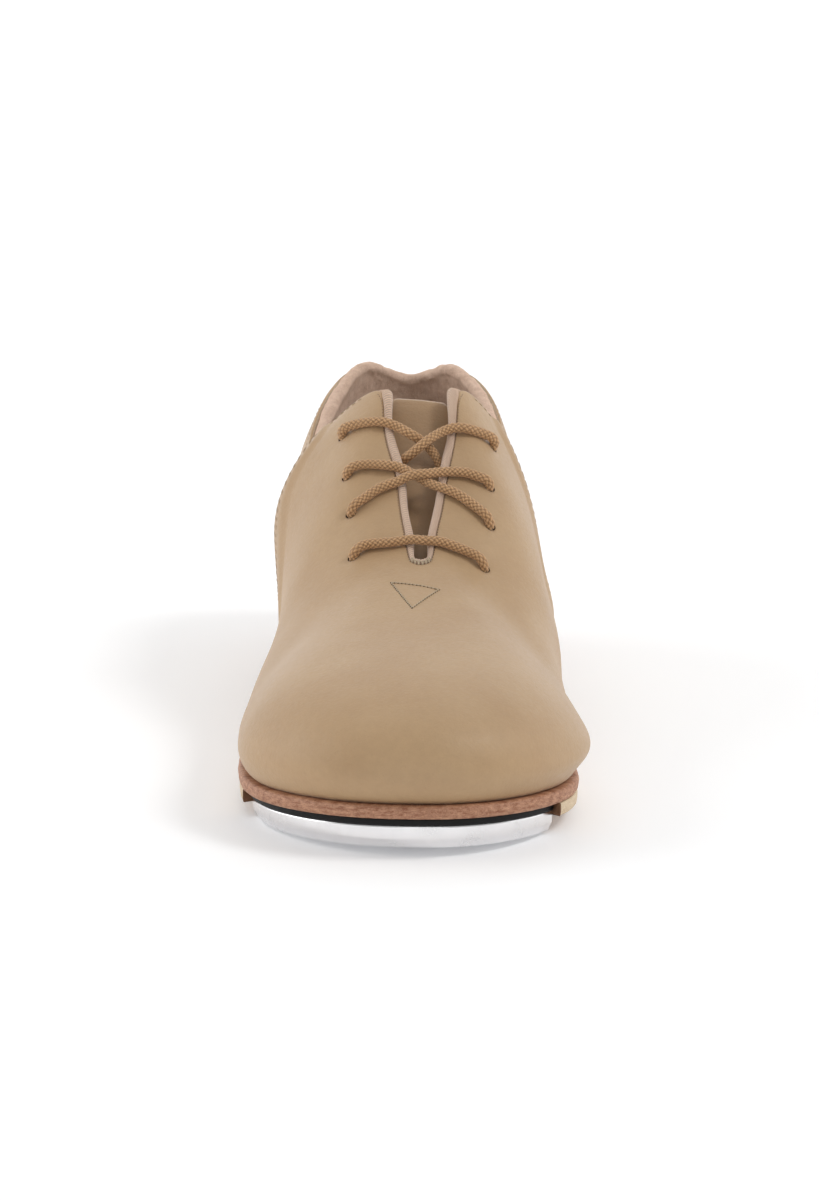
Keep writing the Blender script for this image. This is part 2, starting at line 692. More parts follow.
def rod_arrays(pts, radius, sides=10, ends=True, squash=1.0, up=None):
    """round rod along points, with domed ends"""
    pts = np.asarray(pts, float)
    t, a, b = frames(pts)
    if up is not None:
        u = np.asarray(up, float) * np.ones_like(t)
        b = np.cross(t, u); b /= np.linalg.norm(b, axis=1)[:, None]
        a = np.cross(b, t)
    r = np.full(len(pts), float(radius)) if np.isscalar(radius) else np.asarray(radius, float)
    th = np.linspace(0, 2 * np.pi, sides, endpoint=False)
    ring = pts[:, None] + r[:, None, None] * (np.cos(th)[None, :, None] * a[:, None] * squash + np.sin(th)[None, :, None] * b[:, None])
    verts = [ring.reshape(-1, 3)]
    faces = [grid_quads(len(pts), sides, wrap_j=True)]
    n = len(pts) * sides
    tri = []
    if ends:
        for end, sgn in ((0, -1), (len(pts) - 1, 1)):
            c = pts[end] + sgn * t[end] * r[end] * 0.6
            verts.append(c[None])
            for j in range(sides):
                tri.append((end * sides + j, end * sides + (j + 1) % sides, n))
            n += 1
    return np.concatenate(verts), [tuple(f) for f in faces[0]] + tri


def join_arrays(parts):
    verts, faces, off = [], [], 0
    for v, f in parts:
        verts.append(v)
        faces += [tuple(i + off for i in q) for q in f]
        off += len(v)
    return np.concatenate(verts), faces


def stitch_run(pts, ups, length=2.3, gap=0.9, radius=0.28, sink=0.06, start=0.3):
    """separate thread stitches along a dense path; ups is the outward normal per point"""
    L = np.concatenate([[0], np.cumsum(np.linalg.norm(np.diff(pts, axis=0), axis=1))])
    parts = []
    s = start
    while s + length < L[-1] - start:
        q = np.linspace(s, s + length, 7)
        p = np.stack([np.interp(q, L, pts[:, i]) for i in range(3)], axis=1)
        n = np.stack([np.interp(q, L, ups[:, i]) for i in range(3)], axis=1)
        n /= np.linalg.norm(n, axis=1)[:, None]
        x = np.linspace(-1, 1, 7)
        lift = radius * 0.95 * (1 - x ** 4) - 0.32 * np.abs(x) ** 6 - sink
        parts.append(rod_arrays(p + n * lift[:, None], radius * (1 - 0.35 * np.abs(x) ** 3), sides=7))
        s += length + gap
    return parts


def ring_solid(name, plan, zlow, zhigh, profile, spine, mats, side_mat=0, cap_steps=7, side_idx=None):
    """plate from a closed plan outline (n,2). profile: list of (inset, fraction of height) from top rim to bottom rim.
    spine: ((x, y), (x, y)) line the caps close on."""
    plan = np.asarray(plan, float)
    n = len(plan)
    tan = np.roll(plan, -1, 0) - np.roll(plan, 1, 0)
    tan /= np.linalg.norm(tan, axis=1)[:, None]
    area = 0.5 * np.sum(plan[:, 0] * np.roll(plan[:, 1], -1) - np.roll(plan[:, 0], -1) * plan[:, 1])
    nrm = np.stack([-tan[:, 1], tan[:, 0]], 1) * (1 if area > 0 else -1)
    (ax, ay), (bx, by) = spine
    ln = math.hypot(bx - ax, by - ay) or 1.0

    def cap_ring(base, f):
        tt = np.clip(((base[:, 0] - ax) * (bx - ax) + (base[:, 1] - ay) * (by - ay)) / ln ** 2, 0, 1)
        c = np.stack([ax + (bx - ax) * tt, ay + (by - ay) * tt], 1)
        return base + (c - base) * f

    zl = lambda p: np.array([zlow(float(y)) for y in p[:, 1]])
    zh = lambda p: np.array([zhigh(float(y)) for y in p[:, 1]])
    rows, kind, hs = [], [], []
    top0 = plan + nrm * profile[0][0]
    for i in range(cap_steps, 0, -1):
        q = cap_ring(top0, (i / cap_steps) ** 0.8)
        rows.append(np.column_stack([q, zh(q)])); kind.append(1)
        hs.append(1.0)
    for inset, fr in profile:
        q = plan + nrm * inset
        lo, hi = zl(q), zh(q)
        rows.append(np.column_stack([q, lo + (hi - lo) * fr])); kind.append(0)
        hs.append(fr)
    bot0 = plan + nrm * profile[-1][0]
    for i in range(1, cap_steps + 1):
        q = cap_ring(bot0, (i / cap_steps) ** 0.8)
        rows.append(np.column_stack([q, zl(q)])); kind.append(2)
        hs.append(0.0)
    g = np.stack(rows)                       # (rows, n, 3)
    L = np.concatenate([[0], np.cumsum(np.linalg.norm(np.diff(np.vstack([plan, plan[:1]]), axis=0), axis=1))])[:-1]
    suv = np.stack([np.broadcast_to(L, (len(rows), n)), np.repeat(np.array(hs)[:, None] * 4.0, n, 1)], -1)
    faces = grid_quads(len(rows), n, wrap_j=True)
    fm = []
    for i in range(len(rows) - 1):
        k = max(kind[i], kind[i + 1]) if kind[i] != kind[i + 1] else kind[i]
        if k == 0:
            fm += [side_mat] * n if side_idx is None else [max(side_idx[j], side_idx[(j + 1) % n]) for j in range(n)]
        else:
            fm += [min(k + (1 if side_idx is not None else 0), len(mats) - 1)] * n
    ob = mesh_piece(name, g.reshape(-1, 3), faces, mats, face_mat=fm, suv=suv.reshape(-1, 2))
    bm = bmesh.new()
    bm.from_mesh(ob.data)
    bmesh.ops.remove_doubles(bm, verts=bm.verts, dist=2e-6)
    bmesh.ops.dissolve_degenerate(bm, edges=bm.edges, dist=1e-7)
    bmesh.ops.recalc_face_normals(bm, faces=bm.faces)
    bm.to_mesh(ob.data)
    bm.free()
    return ob


def sharp(ob, deg=35):
    """smooth shading that keeps edges sharper than deg"""
    bm = bmesh.new()
    bm.from_mesh(ob.data)
    for e in bm.edges:
        if len(e.link_faces) == 2 and e.calc_face_angle(0.0) > math.radians(deg):
            e.smooth = False
    bm.to_mesh(ob.data)
    bm.free()


def cut_with(ob, tools):
    """boolean difference with each tool object, applied; the tools are removed"""
    for t in tools:
        m = ob.modifiers.new("cut", "BOOLEAN")
        m.operation = "DIFFERENCE"
        m.solver = "EXACT"
        m.object = t
    bpy.context.view_layer.update()
    dg = bpy.context.evaluated_depsgraph_get()
    me = bpy.data.meshes.new_from_object(ob.evaluated_get(dg))
    ob.modifiers.clear()
    old = ob.data
    ob.data = me
    me.name = ob.name
    bpy.data.meshes.remove(old)
    for t in tools:
        bpy.data.objects.remove(t)
    return ob


# ================= materials =================
def lin(c):
    return tuple(((v / 255.0) / 12.92 if v <= 10.3 else (((v / 255.0) + 0.055) / 1.055) ** 2.4) for v in c) + (1.0,)


class Mat:
    def __init__(self, name):
        self.m = bpy.data.materials.new(name)
        self.m.use_nodes = True
        self.t = self.m.node_tree
        self.b = self.t.nodes["Principled BSDF"]
        self.co = self.t.nodes.new("ShaderNodeTexCoord").outputs["Object"]

    def link(self, a, b):
        self.t.links.new(a, b)

    def set(self, key, value):
        if hasattr(value, "is_linked") or isinstance(value, bpy.types.NodeSocket):
            self.link(value, self.b.inputs[key])
        else:
            self.b.inputs[key].default_value = value

    def attr(self, name="suv", kind="Vector"):
        n = self.t.nodes.new("ShaderNodeAttribute")
        n.attribute_name = name
        return n.outputs[kind]

    def scaled(self, vec, sx, sy, sz):
        n = self.t.nodes.new("ShaderNodeVectorMath")
        n.operation = "MULTIPLY"
        self.link(vec, n.inputs[0])
        n.inputs[1].default_value = (sx, sy, sz)
        return n.outputs[0]

    def noise(self, scale, detail=3.0, rough=0.55, vec=None, dist=0.0):
        n = self.t.nodes.new("ShaderNodeTexNoise")
        n.inputs["Scale"].default_value = scale
        n.inputs["Detail"].default_value = detail
        n.inputs["Roughness"].default_value = rough
        n.inputs["Distortion"].default_value = dist
        self.link(vec if vec is not None else self.co, n.inputs["Vector"])
        return n.outputs[0]

    def voronoi(self, scale, feature="F1", vec=None, rnd=1.0, out="Distance"):
        n = self.t.nodes.new("ShaderNodeTexVoronoi")
        n.feature = feature
        n.inputs["Scale"].default_value = scale
        n.inputs["Randomness"].default_value = rnd
        self.link(vec if vec is not None else self.co, n.inputs["Vector"])
        return n.outputs[out]

    def wave(self, scale, vec, direction="X", dist=0.0, dscale=1.0, profile="SIN"):
        n = self.t.nodes.new("ShaderNodeTexWave")
        n.bands_direction = direction
        n.wave_profile = profile
        n.inputs["Scale"].default_value = scale
        n.inputs["Distortion"].default_value = dist
        n.inputs["Detail Scale"].default_value = dscale
        self.link(vec, n.inputs["Vector"])
        return n.outputs["Fac"]

    def ramp(self, fac, stops):
        n = self.t.nodes.new("ShaderNodeValToRGB")
        el = n.color_ramp.elements
        el[0].position, el[0].color = stops[0]
        el[1].position, el[1].color = stops[-1]
        for p, c in stops[1:-1]:
            e = el.new(p)
            e.color = c
        self.link(fac, n.inputs[0])
        return n.outputs[0]

    def mix(self, fac, a, b, mode="MIX"):
        n = self.t.nodes.new("ShaderNodeMix")
        n.data_type = "RGBA"
        n.blend_type = mode
        for sock, val in ((n.inputs[0], fac), (n.inputs[6], a), (n.inputs[7], b)):
            if isinstance(val, bpy.types.NodeSocket):
                self.link(val, sock)
            else:
                sock.default_value = val
        return n.outputs[2]

    def math(self, op, a, b=0.0, clamp=False):
        n = self.t.nodes.new("ShaderNodeMath")
        n.operation = op
        n.use_clamp = clamp
        for sock, val in ((n.inputs[0], a), (n.inputs[1], b)):
            if isinstance(val, bpy.types.NodeSocket):
                self.link(val, sock)
            else:
                sock.default_value = val
        return n.outputs[0]

    def maprange(self, v, a, b, c, d):
        n = self.t.nodes.new("ShaderNodeMapRange")
        self.link(v, n.inputs[0])
        for i, x in enumerate((a, b, c, d)):
            n.inputs[i + 1].default_value = x
        return n.outputs[0]

    def bump(self, height, strength, distance, normal=None):
        n = self.t.nodes.new("ShaderNodeBump")
        n.inputs["Strength"].default_value = strength
        n.inputs["Distance"].default_value = distance
        self.link(height, n.inputs["Height"])
        if normal is not None:
            self.link(normal, n.inputs["Normal"])
        return n.outputs[0]




def leather(name, base, alt, edge=False, grain=1.0, rough=0.5):
    m = Mat(name)
    big = m.noise(38.0, 2.0)
    mid = m.noise(420.0, 4.0)
    c = m.mix(m.maprange(big, 0.35, 0.65, 0.0, 1.0), lin(base), lin(alt))
    c = m.mix(m.maprange(mid, 0.3, 0.75, 0.0, 0.16), c, lin(tuple(v * 0.82 for v in base)))
    pore = m.voronoi(1500.0)
    c = m.mix(m.maprange(pore, 0.0, 0.22, 0.20 * grain, 0.0), c, lin(tuple(v * 0.6 for v in base)))
    m.set("Base Color", c)
    fine = m.noise(5200.0, 3.0, 0.6)
    cells = m.voronoi(1150.0, "SMOOTH_F1")
    cells2 = m.voronoi(2300.0, "F1")
    h = m.math("ADD", m.math("MULTIPLY", cells, 0.75), m.math("MULTIPLY", cells2, 0.35))
    h = m.math("ADD", h, m.math("MULTIPLY", fine, 0.35))
    n1 = m.bump(h, 0.42 * grain, 0.00022)
    wav = m.noise(70.0, 2.0)
    n2 = m.bump(wav, 0.10, 0.0012, n1)
    m.set("Normal", n2)
    m.set("Roughness", m.maprange(m.noise(900.0, 3.0), 0.3, 0.7, rough - 0.05, rough + 0.08))
    m.set("Specular IOR Level", 0.42)
    m.set("Sheen Weight", 0.15)
    m.set("Sheen Roughness", 0.42)
    return m.m


def raw_edge(name, base):
    m = Mat(name)
    f = m.noise(2600.0, 5.0, 0.7)
    c = m.mix(m.maprange(f, 0.3, 0.7, 0, 1), lin(base), lin(tuple(v * 0.78 for v in base)))
    m.set("Base Color", c)
    m.set("Normal", m.bump(f, 0.6, 0.0002))
    m.set("Roughness", 0.85)
    return m.m


def cloth(name, base, pitch=0.00045, dark=0.72):
    m = Mat(name)
    s = 1.0 / pitch / 6.2832 * 3.1416
    wx = m.wave(s, m.co, "X", 0.6, 3.0)
    wy = m.wave(s, m.co, "Y", 0.6, 3.0)
    wz = m.wave(s, m.co, "Z", 0.6, 3.0)
    w = m.math("MULTIPLY", m.math("MAXIMUM", wx, wy), m.math("ADD", m.math("MULTIPLY", wz, 0.5), 0.5))
    c = m.mix(m.maprange(w, 0.1, 0.9, 0, 1), lin(tuple(v * dark for v in base)), lin(base))
    c = m.mix(m.maprange(m.noise(160.0, 3.0), 0.3, 0.7, 0.0, 0.18), c, lin(tuple(v * 0.85 for v in base)))
    m.set("Base Color", c)
    m.set("Normal", m.bump(w, 0.5, 0.00015))
    m.set("Roughness", 0.9)
    m.set("Sheen Weight", 0.25)
    return m.m


def pile(name, base, alt):
    m = Mat(name)
    clump = m.noise(520.0, 4.0, 0.65)
    fib = m.noise(3400.0, 4.0, 0.75, dist=0.6)
    c = m.mix(m.maprange(clump, 0.32, 0.68, 0, 1), lin(alt), lin(base))
    c = m.mix(m.maprange(fib, 0.35, 0.7, 0.0, 0.55), c, lin(tuple(min(255, v * 1.10) for v in base)))
    c = m.mix(m.maprange(m.attr("hgt", "Fac"), 0.0, 0.5, 0.0, 0.78), c, lin((104, 72, 55)))
    m.set("Base Color", c)
    h = m.math("ADD", clump, m.math("MULTIPLY", fib, 0.8))
    m.set("Normal", m.bump(h, 0.75, 0.0006))
    m.set("Roughness", 0.95)
    m.set("Specular IOR Level", 0.15)
    m.set("Sheen Weight", 0.25)
    m.set("Sheen Roughness", 0.4)
    m.set("Sheen Tint", lin((235, 215, 195)))
    return m.m


def knit(name, base):
    m = Mat(name)
    v = m.attr("suv")
    rib = m.attr("hgt", "Fac")
    fib = m.noise(4200.0, 4.0, 0.75)
    c = m.mix(m.maprange(rib, 0.15, 0.85, 0, 1), lin(tuple(q * 0.80 for q in base)), lin(base))
    c = m.mix(m.maprange(fib, 0.35, 0.7, 0.0, 0.35), c, lin(tuple(min(255, q * 1.14) for q in base)))
    m.set("Base Color", c)
    m.set("Normal", m.bump(m.math("ADD", m.math("MULTIPLY", rib, 0.6), fib), 0.6, 0.00035))
    m.set("Roughness", 0.95)
    m.set("Sheen Weight", 0.4)
    return m.m


def braid_mat(name, base, dark):
    m = Mat(name)
    h = m.attr("hgt", "Fac")
    fib = m.noise(5200.0, 3.0, 0.7)
    c = m.mix(m.maprange(h, 0.62, 0.97, 0, 1), lin(dark), lin(base))
    c = m.mix(m.maprange(fib, 0.3, 0.7, 0.0, 0.35), c, lin(tuple(min(255, q * 1.14) for q in base)))
    c = m.mix(m.maprange(m.noise(240.0, 2.0), 0.35, 0.7, 0.0, 0.3), c, lin(tuple(q * 0.85 for q in base)))
    m.set("Base Color", c)
    m.set("Normal", m.bump(fib, 0.45, 0.0002))
    m.set("Roughness", 0.78)
    m.set("Sheen Weight", 0.2)
    return m.m


def burnished(name, base, light, dark, run=0.16, grit=1.3):
    """cut sole-leather edge: waxed, scuffed, streaked along its length"""
    m = Mat(name)
    v = m.attr("suv")
    along = m.noise(1.0, 5.0, 0.65, vec=m.scaled(v, run, 1.1, 1.0))
    fine = m.noise(1.0, 4.0, 0.75, vec=m.scaled(v, grit, 3.2, 1.0))
    spk = m.voronoi(1700.0)
    c = m.mix(m.maprange(along, 0.34, 0.66, 0, 1), lin(base), lin(light))
    c = m.mix(m.maprange(fine, 0.5, 0.78, 0.0, 0.75), c, lin(dark))
    c = m.mix(m.maprange(fine, 0.44, 0.24, 0.0, 0.65), c, lin(tuple(min(255, q * 1.16) for q in light)))
    c = m.mix(m.maprange(spk, 0.0, 0.18, 0.45, 0.0), c, lin(tuple(q * 0.75 for q in dark)))
    m.set("Base Color", c)
    h = m.math("ADD", m.math("MULTIPLY", fine, 0.8), m.math("MULTIPLY", along, 0.4))
    m.set("Normal", m.bump(h, 0.55, 0.0004))
    m.set("Roughness", m.maprange(fine, 0.25, 0.75, 0.42, 0.72))
    return m.m


def sole_leather(name, base, dark):
    m = Mat(name)
    v = m.scaled(m.co, 1.0, 0.25, 1.0)
    streak = m.noise(260.0, 5.0, 0.6, vec=v)
    spot = m.noise(42.0, 3.0)
    c = m.mix(m.maprange(streak, 0.3, 0.7, 0, 1), lin(base), lin(dark))
    c = m.mix(m.maprange(spot, 0.4, 0.7, 0.0, 0.35), c, lin(tuple(q * 0.8 for q in dark)))
    m.set("Base Color", c)
    m.set("Normal", m.bump(m.math("ADD", streak, m.noise(3000.0, 3.0)), 0.35, 0.0002))
    m.set("Roughness", m.maprange(spot, 0.3, 0.7, 0.38, 0.6))
    return m.m


def cast_metal(name, base, rough=0.28, brushed=True):
    m = Mat(name)
    v = m.attr("suv")
    lines = m.noise(1.0, 3.0, 0.6, vec=m.scaled(v, 0.35, 14.0, 1.0))
    cloud = m.noise(120.0, 3.0)
    fine = m.noise(2600.0, 3.0, 0.7)
    c = m.mix(m.maprange(cloud, 0.35, 0.7, 0.0, 0.25), lin(base), lin(tuple(q * 0.86 for q in base)))
    m.set("Base Color", c)
    m.set("Metallic", 1.0)
    r = m.math("ADD", m.maprange(cloud, 0.3, 0.7, rough - 0.03, rough + 0.04), m.maprange(fine, 0.3, 0.7, -0.02, 0.03))
    m.set("Roughness", r)
    h = m.math("ADD", m.math("MULTIPLY", lines, 0.6), m.math("MULTIPLY", fine, 0.5))
    m.set("Normal", m.bump(h, 0.06, 0.0001))
    return m.m


def board(name, base):
    m = Mat(name)
    v = m.attr("suv")
    f = m.noise(1.0, 4.0, 0.7, vec=m.scaled(v, 0.5, 5.0, 1.0))
    g = m.noise(2800.0, 3.0, 0.7)
    c = m.mix(m.maprange(f, 0.35, 0.7, 0, 1), lin(base), lin(tuple(min(255, q * 1.7) for q in base)))
    m.set("Base Color", c)
    m.set("Normal", m.bump(m.math("ADD", f, g), 0.4, 0.0002))
    m.set("Roughness", m.maprange(f, 0.3, 0.7, 0.35, 0.7))
    m.set("Specular IOR Level", 0.22)
    return m.m


def plain(name, base, rough=0.7, metal=0.0, scale=900.0, amount=0.18, bump=0.25):
    m = Mat(name)
    f = m.noise(scale, 4.0, 0.65)
    c = m.mix(m.maprange(f, 0.3, 0.7, 0.0, 1.0), lin(base), lin(tuple(q * (1 - amount) for q in base)))
    m.set("Base Color", c)
    m.set("Metallic", metal)
    m.set("Normal", m.bump(f, bump, 0.0002))
    m.set("Roughness", m.maprange(f, 0.3, 0.7, rough - 0.06, rough + 0.06))
    return m.m


def thread_mat(name, base):
    m = Mat(name)
    w = m.wave(2200.0, m.co, "DIAGONAL", 1.0, 2.0)
    c = m.mix(w, lin(tuple(q * 0.72 for q in base)), lin(base))
    m.set("Base Color", c)
    m.set("Normal", m.bump(w, 0.5, 0.0001))
    m.set("Roughness", 0.6)
    m.set("Sheen Weight", 0.2)
    return m.m


M_UPPER = leather("upper_leather", (182, 151, 114), (177, 145, 108))
M_TONGUE = leather("tongue_leather", (170, 139, 105), (164, 132, 98))
M_EDGE = raw_edge("upper_raw_edge", (214, 192, 166))
M_FLESH = raw_edge("upper_flesh_side", (192, 168, 140))
M_LINING = cloth("lining_cloth", (196, 170, 145))
M_PILE = pile("pile_lining", (229, 200, 179), (201, 168, 146))
M_KNIT = knit("knit_binding", (227, 196, 171))
M_LACE = braid_mat("lace_braid", (202, 160, 115), (118, 84, 54))
M_TIP = plain("lace_tip", (120, 92, 66), 0.35)
M_THREAD = thread_mat("thread_light", (216, 194, 160))
M_THREAD2 = thread_mat("thread_tan", (184, 154, 120))
M_WELT = burnished("midsole_edge", (141, 88, 60), (198, 150, 118), (90, 50, 32), 0.42, 2.2)
M_SOCK = leather("sock_leather", (196, 168, 138), (186, 158, 128), grain=0.8, rough=0.6)
M_SOLE = sole_leather("outsole_leather", (184, 146, 104), (156, 118, 80))
M_SOLE_EDGE = burnished("outsole_edge", (206, 182, 148), (220, 200, 170), (150, 112, 78))
M_CUT = raw_edge("outsole_cut_face", (128, 88, 58))
M_BOARD = board("black_board", (13, 13, 13))
M_TAP = cast_metal("tap_metal", (238, 237, 238), 0.24)
M_SCREW = cast_metal("screw_steel", (190, 190, 194), 0.3)
M_HEEL = burnished("heel_leather", (150, 108, 78), (172, 130, 98), (98, 66, 44))
M_RUBBER = plain("lift_rubber", (58, 50, 44), 0.7, scale=2200.0, amount=0.3)
M_FOAM = plain("foam", (205, 195, 170), 0.9, scale=1500.0)
M_STIFF = plain("stiffener_board", (170, 150, 125), 0.85, scale=1200.0)
M_SHANK = plain("shank_steel", (150, 150, 150), 0.4, metal=1.0, scale=2500.0, amount=0.1, bump=0.1)
M_HOLE = plain("hole_shadow", (70, 52, 38), 0.9)
M_THREAD3 = thread_mat("thread_brown", (128, 98, 72))


# ================= grids on the form =================
QN = 1.0
EDGE = np.array([0.0, 0.05, 0.16, 0.33, 0.55])
_sk = np.linspace(-0.5, 9.6, 400)
_sv = np.array([SEAM(float(k)) for k in _sk]) - np.interp(_sk, [0.0, 1.5, 3.5, 8.2, 9.0], [0.0, 0.05, 0.32, 0.32, 0.18])


def seam(k):
    return np.interp(k, _sk, _sv)


def count(n):
    return max(int(n * QN), 6)


def edged(n, lo, hi, width):
    """0..1 in n even steps, with close steps at the ends that are cut edges of a piece about width millimetres across"""
    a = EDGE / width if lo else np.array([0.0])
    b = 1 - (EDGE[::-1] / width if hi else np.array([0.0]))
    return np.concatenate([a, np.linspace(a[-1], b[0], n)[1:-1], b])


def rows_k(ufun, s, k0, k1, n, lo=False, hi=False):
    """u and k grids (len(s), rows), evenly spaced by length on each column, with close rows at cut edges"""
    t = np.linspace(0, 1, 110)
    k0 = np.broadcast_to(np.asarray(k0, float), s.shape)
    k1 = np.broadcast_to(np.asarray(k1, float), s.shape)
    ks = k0[:, None] + (k1 - k0)[:, None] * t
    p = PN(ufun(s[:, None], ks), ks)
    run = np.concatenate([np.zeros((len(s), 1)), np.cumsum(np.linalg.norm(np.diff(p, axis=1), axis=2), axis=1)], axis=1)
    out = []
    for i in range(len(s)):
        L = run[i, -1]
        a = EDGE if lo else np.array([0.0])
        b = L - (EDGE[::-1] if hi else np.array([0.0]))
        x = np.concatenate([a, np.linspace(a[-1], b[0], n)[1:-1], b])
        out.append(np.interp(x, run[i], ks[i]))
    k = np.array(out)
    return ufun(s[:, None], k), k


def rounding(dist, r):
    q = np.clip(dist, 0, r)
    return r - np.sqrt(np.maximum(r * r - (r - q) ** 2, 0))


def from_ends(p, axis):
    """distance along an axis to each end of the grid"""
    x = row_dist(p, axis)
    L = np.take(x, [-1], axis=axis)
    return x, L - x


def normals_of(g):
    a = np.gradient(g, axis=0)
    b = np.gradient(g, axis=1)
    n = np.cross(a, b)
    return n / np.maximum(np.linalg.norm(n, axis=2), 1e-9)[..., None]


def sway(p):
    """slow unevenness of worn leather, millimetres"""
    w = 0.16 * vnoise(p, 21.0, 5) + 0.05 * vnoise(p, 7.0, 9)
    return w


DENTS = [((-5.9, 4.3), 0.55, 9.0), ((-7.9, 5.4), 0.3, 9.0), ((5.6, 4.6), 0.25, 11.0), ((2.5, 6.5), 0.12, 14.0)]


def dent(p):
    w = np.zeros(p.shape[:-1])
    for uk, deep, r in DENTS:
        c = np.array(P(*uk))
        w += deep * np.exp(-np.sum((p - c) ** 2, axis=-1) / (r * r))
    for uk in HOLES_L + HOLES_M:
        c = np.array(P(*uk))
        w += 0.38 * np.exp(-np.sum((p - c) ** 2, axis=-1) / 2.6 ** 2)
    return w


def over_ball(ob):
    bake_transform(ob)


# ================= front piece of the upper =================
sw = edged(count(330), True, True, 2.0 / 2 * 300) * 2 - 1
utop = seam(9.0) * sw
per_k = np.linalg.norm(PN(utop, 9.0 + 0 * utop) - PN(utop, 8.9 + 0 * utop), axis=-1) / 0.1
trim = 0.85 * (1 - sstep(np.abs(utop), 8.55, 8.95)) / per_k
uv_, kv_ = rows_k(lambda s, k: seam(k) * s, sw, 0.3, 9.0 - trim, count(150), False, True)
base = PN(uv_, kv_)
side_a, side_b = from_ends(base, 0)
side = np.minimum(side_a, side_b)
low, high = from_ends(base, 1)
lap = 1 - sstep(side, 6.0, 10.5)
wob = dent(base) - sway(base)
cut_r = np.minimum(side, high)
outer = PN(uv_, kv_, wob - 1.08 * lap + rounding(cut_r, 0.5))
inner = PN(uv_, kv_, wob + 1.4 - 1.32 * lap - rounding(cut_r, 0.22))
v, f, kinds = shell_arrays(outer, inner)
suv = np.concatenate([np.stack([side_a, low], -1).reshape(-1, 2)] * 2)
vamp = mesh_piece("vamp", v, f, [M_UPPER, M_FLESH, M_EDGE, M_HOLE], face_mat=kinds, suv=suv)


def hole_cutters(radius, mats, index, lo=-3.5, hi=6.5):
    parts = []
    for uk in HOLES_L + HOLES_M:
        a, b = np.array(P(uk[0], uk[1], lo)), np.array(P(uk[0], uk[1], hi))
        t = (b - a) / np.linalg.norm(b - a)
        x = np.cross(t, [0, 0, 1.0]); x /= np.linalg.norm(x)
        y = np.cross(t, x)
        th = np.linspace(0, 2 * np.pi, 22, endpoint=False)
        ring = np.cos(th)[:, None] * x + np.sin(th)[:, None] * y
        vv = np.concatenate([a + ring * radius, b + ring * radius])
        n = len(th)
        ff = [(j, (j + 1) % n, n + (j + 1) % n, n + j) for j in range(n)] + [tuple(range(n))[::-1], tuple(range(n, 2 * n))]
        parts.append((vv, ff))
    vv, ff = join_arrays(parts)
    ob = mesh_piece("cutter", vv, ff, mats, face_mat=[index] * len(ff))
    return ob


cut_with(vamp, [hole_cutters(1.55, [M_UPPER, M_FLESH, M_EDGE, M_HOLE], 3)])
over_ball(vamp)
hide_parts("vamp_toe", "vamp_crease", "vamp_instep")

# ================= back quarters =================
QUARTERS = []
for name, sgn, node in (("lateral_quarter_skin", 1, "lateral_quarter"), ("medial_quarter_skin", -1, "medial_quarter")):
    if sgn > 0:
        uf = lambda s, k: (seam(k) - 0.36) + (15.0 - seam(k) + 0.36) * s
    else:
        uf = lambda s, k: 15.0 + (N - seam(k) + 0.36 - 15.0) * s
    s_ = edged(count(130), True, True, 110)
    uq, kq = rows_k(uf, s_, 0.3, 9.0, count(78), False, True)
    base = PN(uq, kq)
    low, high = from_ends(base, 1)
    wob = dent(base) - sway(base)
    outer = PN(uq, kq, wob + rounding(high, 0.5))
    inner = PN(uq, kq, wob + 1.4 - rounding(high, 0.22))
    v, f, kinds = shell_arrays(outer, inner)
    suv = np.concatenate([np.stack([from_ends(base, 0)[0], low], -1).reshape(-1, 2)] * 2)
    q = mesh_piece(name, v, f, [M_UPPER, M_FLESH, M_EDGE], face_mat=kinds, suv=suv)
    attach(q, "rear")
    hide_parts(node)
    QUARTERS.append(q)

s_ = edged(count(26), True, True, 13)
half = lambda k: 0.46 - 0.012 * (k - 2)
ub, kb = rows_k(lambda s, k: 15 + half(k) * (2 * s - 1), s_, 1.2, 8.98, count(90), False, True)
base = PN(ub, kb)
sa, sb = from_ends(base, 0)
low, high = from_ends(base, 1)
rr = np.minimum(np.minimum(sa, sb), high)
wob = -sway(base)
outer = PN(ub, kb, wob - 0.98 + rounding(rr, 0.5))
inner = PN(ub, kb, wob + 0.1 - rounding(rr, 0.1))
v, f, kinds = shell_arrays(outer, inner)
stay = mesh_piece("back_stay_strip", v, f, [M_UPPER, M_FLESH, M_EDGE], face_mat=kinds, suv=np.concatenate([np.stack([sa, low], -1).reshape(-1, 2)] * 2))
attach(stay, "rear")
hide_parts("back_stay")

# ================= linings =================
sw = edged(count(170), True, True, 300) * 2 - 1
uv_, kv_ = rows_k(lambda s, k: seam(k) * s, sw, 0.55, 8.85, count(80), False, True)
base = PN(uv_, kv_)
v, f, kinds = shell_arrays(PN(uv_, kv_, 2.62), PN(uv_, kv_, 3.5))
lining = mesh_piece("front_lining", v, f, [M_LINING], suv=None)
cut_with(lining, [hole_cutters(1.5, [M_LINING], 0)])
over_ball(lining)
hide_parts("lining_toe", "lining_crease", "lining_instep")

s_ = edged(count(130), True, True, 230)
uq, kq = rows_k(lambda s, k: seam(k) + (N - 2 * seam(k)) * s, s_, 0.55, 4.9, count(30))
v, f, kinds = shell_arrays(PN(uq, kq, 2.62), PN(uq, kq, 3.5))
qlin = mesh_piece("back_lining", v, f, [M_LINING])
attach(qlin, "rear")
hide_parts("quarter_lining")

# ================= padded collar in pile =================
_fu = np.linspace(9.0, 21.0, 240)


def foam_np(u, k):
    s = np.clip((k - 6.2) / (9.15 - 6.2), 0, 1)
    e = sstep(u, 9.7, 11.2) * (1 - sstep(u, 18.8, 20.3))
    return 2.65 + 3.0 * e * np.sin(np.pi * s) ** 2


